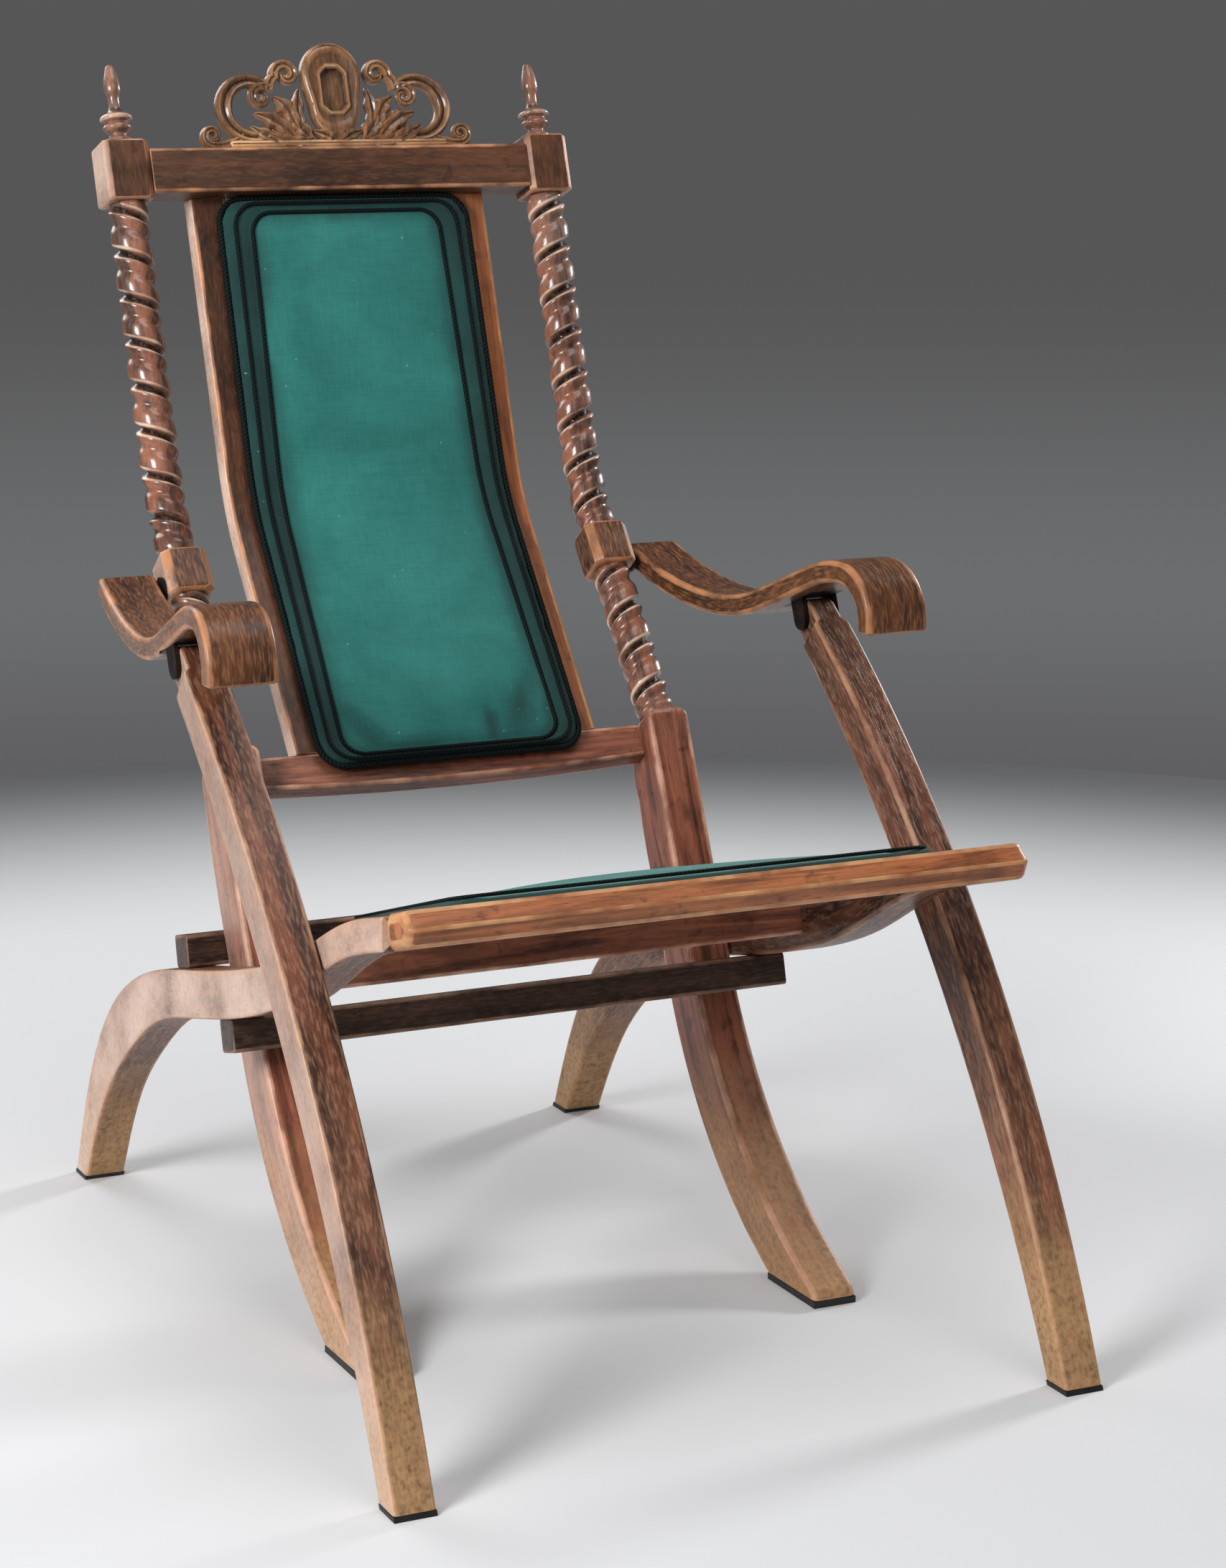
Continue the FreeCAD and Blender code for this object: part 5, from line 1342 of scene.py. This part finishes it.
# %% Back pad
PAD_INSET, PAD_TAPER, PAD_OVERLAP, PAD_EDGE, PAD_PUFF = 0.021, 0.004, 0.020, 0.010, 0.0085
PAD_CORNER, PAD_GAP, TOP_GAP, BACK_FILL = 0.026, 0.0006, 0.0034, 0.7
ROLL_INSET = BORDER * 0.42
BACK_CREASES = [((-0.104, 0.076), (-0.052, 0.010), 0.0022, 0.0032),
                ((-0.110, 0.058), (-0.070, 0.012), -0.0016, 0.008),
                ((0.047, 0.062), (0.042, 0.012), -0.0018, 0.006),
                ((0.094, 0.084), (0.066, 0.012), -0.0018, 0.008),
                ((0.108, 0.090), (0.098, 0.022), 0.0012, 0.005),
                ((-0.058, 0.540), (-0.052, 0.200), 0.0005, 0.003)]
# Painted shade along the valleys of the creases: start, end, width and strength of each dark stroke.
BACK_CREASE_SHADE = [((-0.108, 0.062), (-0.070, 0.014), 0.015, 0.6), ((0.044, 0.034), (0.041, 0.014), 0.009, 0.8),
               ((0.095, 0.074), (0.078, 0.042), 0.014, 0.65), ((0.078, 0.042), (0.066, 0.010), 0.018, 0.6)]
BACK_CORDS = [("back_edge_cord", -0.0008, 1.0, 0.0015, 0.00572, ["back_binding"]),
              ("back_roll_cord", ROLL_INSET, 0.9, 0.0076, 0.0039, ()),
              ("back_seam_cord", BORDER, 0.8, 0.0046, 0.00416, ())]
pad_run = back_run(bottom_top + PAD_OVERLAP, top_under + TOP_GAP)
pad_forward = PAD_EDGE / 2 - STILE_SETBACK + PAD_GAP
pad_line = resample(pad_run + left_of(heading_of(pad_run)) * pad_forward, EDGE_POINTS)
pad_half = stile_box[1] - PAD_INSET - PAD_TAPER * np.linspace(0.0, 1.0, EDGE_POINTS)
make_pad("back_cushion", pad_line, pad_half, PAD_EDGE, PAD_CORNER, PAD_PUFF, BACK_CREASES, BACK_CREASE_SHADE,
         "back_frame", ["back_pad"])
sew_cords(BACK_CORDS, pad_line, pad_half, PAD_CORNER, "back_frame")

# %% [markdown]
# The seat pad is wider in front than behind and lies on straps between the front rail and the rear rail.
# It is stuffed more and has the same cords as the back. Its creases are broad and shallow, from being sat
# on.

# %% Seat pad
SEAT_LENGTH, SEAT_EDGE, SEAT_PUFF, SEAT_CORNER = 0.358, 0.013, 0.015, 0.024
SEAT_MEMBER_GAP, SEAT_POST_GAP, SEAT_RAIL_GAP, SEAT_STRAP_GAP, SEAT_FILL = 0.016, 0.009, 0.0003, 0.0004, 0.6
SEAT_CREASES = [((-0.150, 0.180), (0.120, 0.200), -0.0010, 0.030),
                ((-0.060, 0.060), (0.070, 0.050), 0.0008, 0.020)]
# A darker strip across the seat near its rear, and painted shade along the crease: start, end, width, strength.
SEAT_DARK_STROKES = [((-0.190, 0.320), (0.160, 0.330), 0.020, 0.6), ((-0.120, 0.170), (-0.020, 0.150), 0.030, 0.35)]
SEAT_CORDS = [("seat_edge_cord", 0.0006, 1.0, 0.0010, 0.0052, ()),
              ("seat_roll_cord", ROLL_INSET, 0.9, 0.0103, 0.00312, ()),
              ("seat_seam_cord", BORDER, 0.8, 0.0059, 0.00364, ())]
seat_start = STRAP_DROP * np.tan(np.radians(SEAT_SLOPE)) + SEAT_RAIL_GAP
share = np.linspace(0.0, 1.0, EDGE_POINTS)
seat_line = seat_point(seat_start + SEAT_LENGTH * share, STRAP_THICK + SEAT_EDGE / 2 + SEAT_STRAP_GAP)
front_half, rear_half = member_box[0] - SEAT_MEMBER_GAP, post_x - post_half - SEAT_POST_GAP
seat_half = front_half + (rear_half - front_half) * share
make_pad("seat_cushion", seat_line, seat_half, SEAT_EDGE, SEAT_CORNER, SEAT_PUFF, SEAT_CREASES, SEAT_DARK_STROKES,
         "seat_frame", ["seat_pad"])
sew_cords(SEAT_CORDS, seat_line, seat_half, SEAT_CORNER, "seat_frame")

# %% [markdown]
# Under the seat four linen straps carry the pad, and behind the back a linen panel closes the space
# between the stiles. A flat plane would have no thickness to show at its edge, so straps and panel are
# thin bars, and their weave follows the grain attribute. The straps sag a little. The panel is stretched,
# so it has no folds.

# %% Straps and linen panel
STRAPS, STRAP_WIDTH, STRAP_SAG, STRAP_ROUND, STRAP_POINTS = 4, 0.050, 0.0012, 0.0009, 60
PANEL_THICK, PANEL_SETBACK, PANEL_GAP = 0.0016, 0.0015, 0.0004
CLOTH_ROUND = 0.0006
run = np.linspace(seat_start, rear_run + REAR_RAIL_DEPTH, STRAP_POINTS)
sag = STRAP_SAG * np.sin(np.pi * np.linspace(0.0, 1.0, STRAP_POINTS))
strap_line = seat_point(run, STRAP_THICK / 2 - sag)
strap_places = (np.arange(STRAPS) + 0.5) * 2 * rear_half / STRAPS - rear_half
straps = [bar(in_space(strap_line, x), ACROSS, in_space(seat_up), STRAP_WIDTH / 2, STRAP_THICK / 2,
              STRAP_ROUND, CLOTH_ROUND, 50) for x in strap_places]
add_piece("seat_straps", straps, "seat_frame", linen, ["seat_webbing"])

panel_line = stile_run - stile_fore * (STILE_SETBACK + PANEL_SETBACK)
panel_bar = bar(in_space(panel_line), ACROSS, in_space(stile_fore), stile_box[0] - PANEL_GAP, PANEL_THICK / 2,
                CLOTH_ROUND, CLOTH_ROUND, 100)
back_panel = add_piece("back_panel", [panel_bar], "back_frame", linen, ["back_cloth"])
print(STRAPS, "straps", round((run[-1] - run[0]) * 1000), "mm long")

# %% [markdown]
# The chair stands on a pale studio floor. Far away it is painted darker, as the studio light falls off.
# A plane with a gradient picture could do that. Here the floor's colour changes with the distance from
# the chair, so the shadow of the chair stays real.

# %% Floor
FLOOR_RINGS, FLOOR_SPOKES, FLOOR_FALLOFF_START = (0.01, 0.5, 1.0, 1.7, 2.45), 96, 1.35


def make_floor():
    """Disc of rings and spokes round the chair: (r cos a, r sin a, 0)."""
    radius, angle = np.meshgrid(FLOOR_RINGS, np.linspace(0, 2 * np.pi, FLOOR_SPOKES, endpoint=False),
                                indexing="ij")
    spots = np.stack([radius * np.cos(angle), radius * np.sin(angle), np.zeros_like(radius)], -1)
    index = np.arange(radius.size).reshape(radius.shape)
    ring = np.roll(index, -1, axis=1)
    quads = np.stack([index[:-1], index[1:], ring[1:], ring[:-1]], -1).reshape(-1, 4)
    mesh = bpy.data.meshes.new("floor")
    mesh.from_pydata(spots.reshape(-1, 3).tolist(), [], quads.tolist() + [index[0].tolist()])
    floor = bpy.data.objects.new("floor", mesh)
    material, tree, shader = new_material("floor", Roughness=0.85)
    far = tree.add("ShaderNodeVectorMath", {0: tree.place()}, operation="LENGTH").outputs["Value"]
    # Painted fall-off of light: the floor's colour darkens from this distance to the edge of the disc.
    colour = tree.mix(tree.step(far, FLOOR_FALLOFF_START, FLOOR_RINGS[-1]), seen(212, 213, 215), seen(90, 91, 93))
    tree.give(shader, Base_Color=colour)
    mesh.materials.append(material)
    bpy.context.scene.collection.objects.link(floor)


make_floor()
print("floor", 2 * FLOOR_RINGS[-1], "m across")

# %% [markdown]
# A studio lights such a chair softly: a large lamp on one side, weaker ones behind, beside, in front and
# above. Small lamps would leave hard white glints on the polish. The grey wall is a sky that only the
# camera and mirror-like surfaces see, so that its colour doesn't have to match the light that it gives.

# %% Light
HORIZON, GLOW, ZENITH = -0.20, -0.15, -0.06
SKY_LIGHT = (0.29, 0.29, 0.295, 1.0)
AIM, RIM_AIM = (0.0, 0.0, 0.5), (0.0, 0.0, 0.6)


def make_lamp(name, place, aim, size, power):
    """Round lamp at a place, turned so that its own -Z looks at the aim."""
    lamp = bpy.data.lights.new(name, "AREA")
    lamp.shape, lamp.size, lamp.energy = "DISK", size, power
    holder = bpy.data.objects.new(name, lamp)
    holder.location = place
    holder.visible_camera = False
    holder.rotation_euler = (Vector(aim) - Vector(place)).to_track_quat("-Z", "Y").to_euler()
    bpy.context.scene.collection.objects.link(holder)


def make_sky():
    """Even grey light. The camera and reflections see a grey that is palest low down and darkens upwards."""
    world = bpy.data.worlds.new("studio")
    world.use_nodes = True
    bpy.context.scene.world = world
    tree = Tree(world.node_tree)
    rays = tree.add("ShaderNodeLightPath").outputs
    up = tree.split(tree.add("ShaderNodeTexCoord").outputs["Generated"])[2]
    sky = tree.mix(tree.step(up, HORIZON, GLOW), seen(96, 96, 98), seen(108, 109, 110))
    sky = tree.mix(tree.step(up, GLOW, ZENITH), sky, seen(86, 86, 87))
    seen_by = tree.math("MAXIMUM", rays["Is Camera Ray"], rays["Is Glossy Ray"])
    seen_by = tree.math("MAXIMUM", seen_by, rays["Is Transmission Ray"])
    colour = tree.mix(seen_by, SKY_LIGHT, sky)
    tree.give(world.node_tree.nodes["Background"].inputs, Color=colour)


make_sky()
make_lamp("key", (-2.7, -1.2, 1.9), AIM, 1.2, 98.0)
make_lamp("back", (-1.0, 2.8, 2.2), AIM, 1.8, 34.0)
make_lamp("rim", (2.8, 0.9, 1.6), RIM_AIM, 0.5, 48.0)
make_lamp("front", (-0.4, -3.2, 2.6), AIM, 2.4, 8.0)
make_lamp("top", (0.2, -0.4, 3.2), AIM, 1.6, 20.0)
print("lamps:", [lamp.name for lamp in bpy.data.lights])

# %% [markdown]
# The camera stands where the picture was taken from: in front of the chair, towards the sitter's right, a
# little above it and with a long lens. It could be aimed with a Track To constraint. Two angles say the
# same and are easier to read.

# %% Camera
AZIMUTH, ELEVATION = np.radians(-25.456), np.radians(11.792)
CAMERA_PLACE = (-1.265, -2.844, 1.109)
LENS, SENSOR = 81.89, 36.0
lens = bpy.data.cameras.new("camera")
lens.lens, lens.sensor_width = LENS, SENSOR
camera = bpy.data.objects.new("camera", lens)
level = np.cos(ELEVATION)
backwards = Vector((np.sin(AZIMUTH) * level, -np.cos(AZIMUTH) * level, np.sin(ELEVATION)))
camera.location = CAMERA_PLACE
camera.rotation_euler = (-backwards).to_track_quat("-Z", "Y").to_euler()
bpy.context.scene.collection.objects.link(camera)
bpy.context.scene.camera = camera
bpy.context.scene.view_settings.view_transform = "Standard"
print("camera at", CAMERA_PLACE)
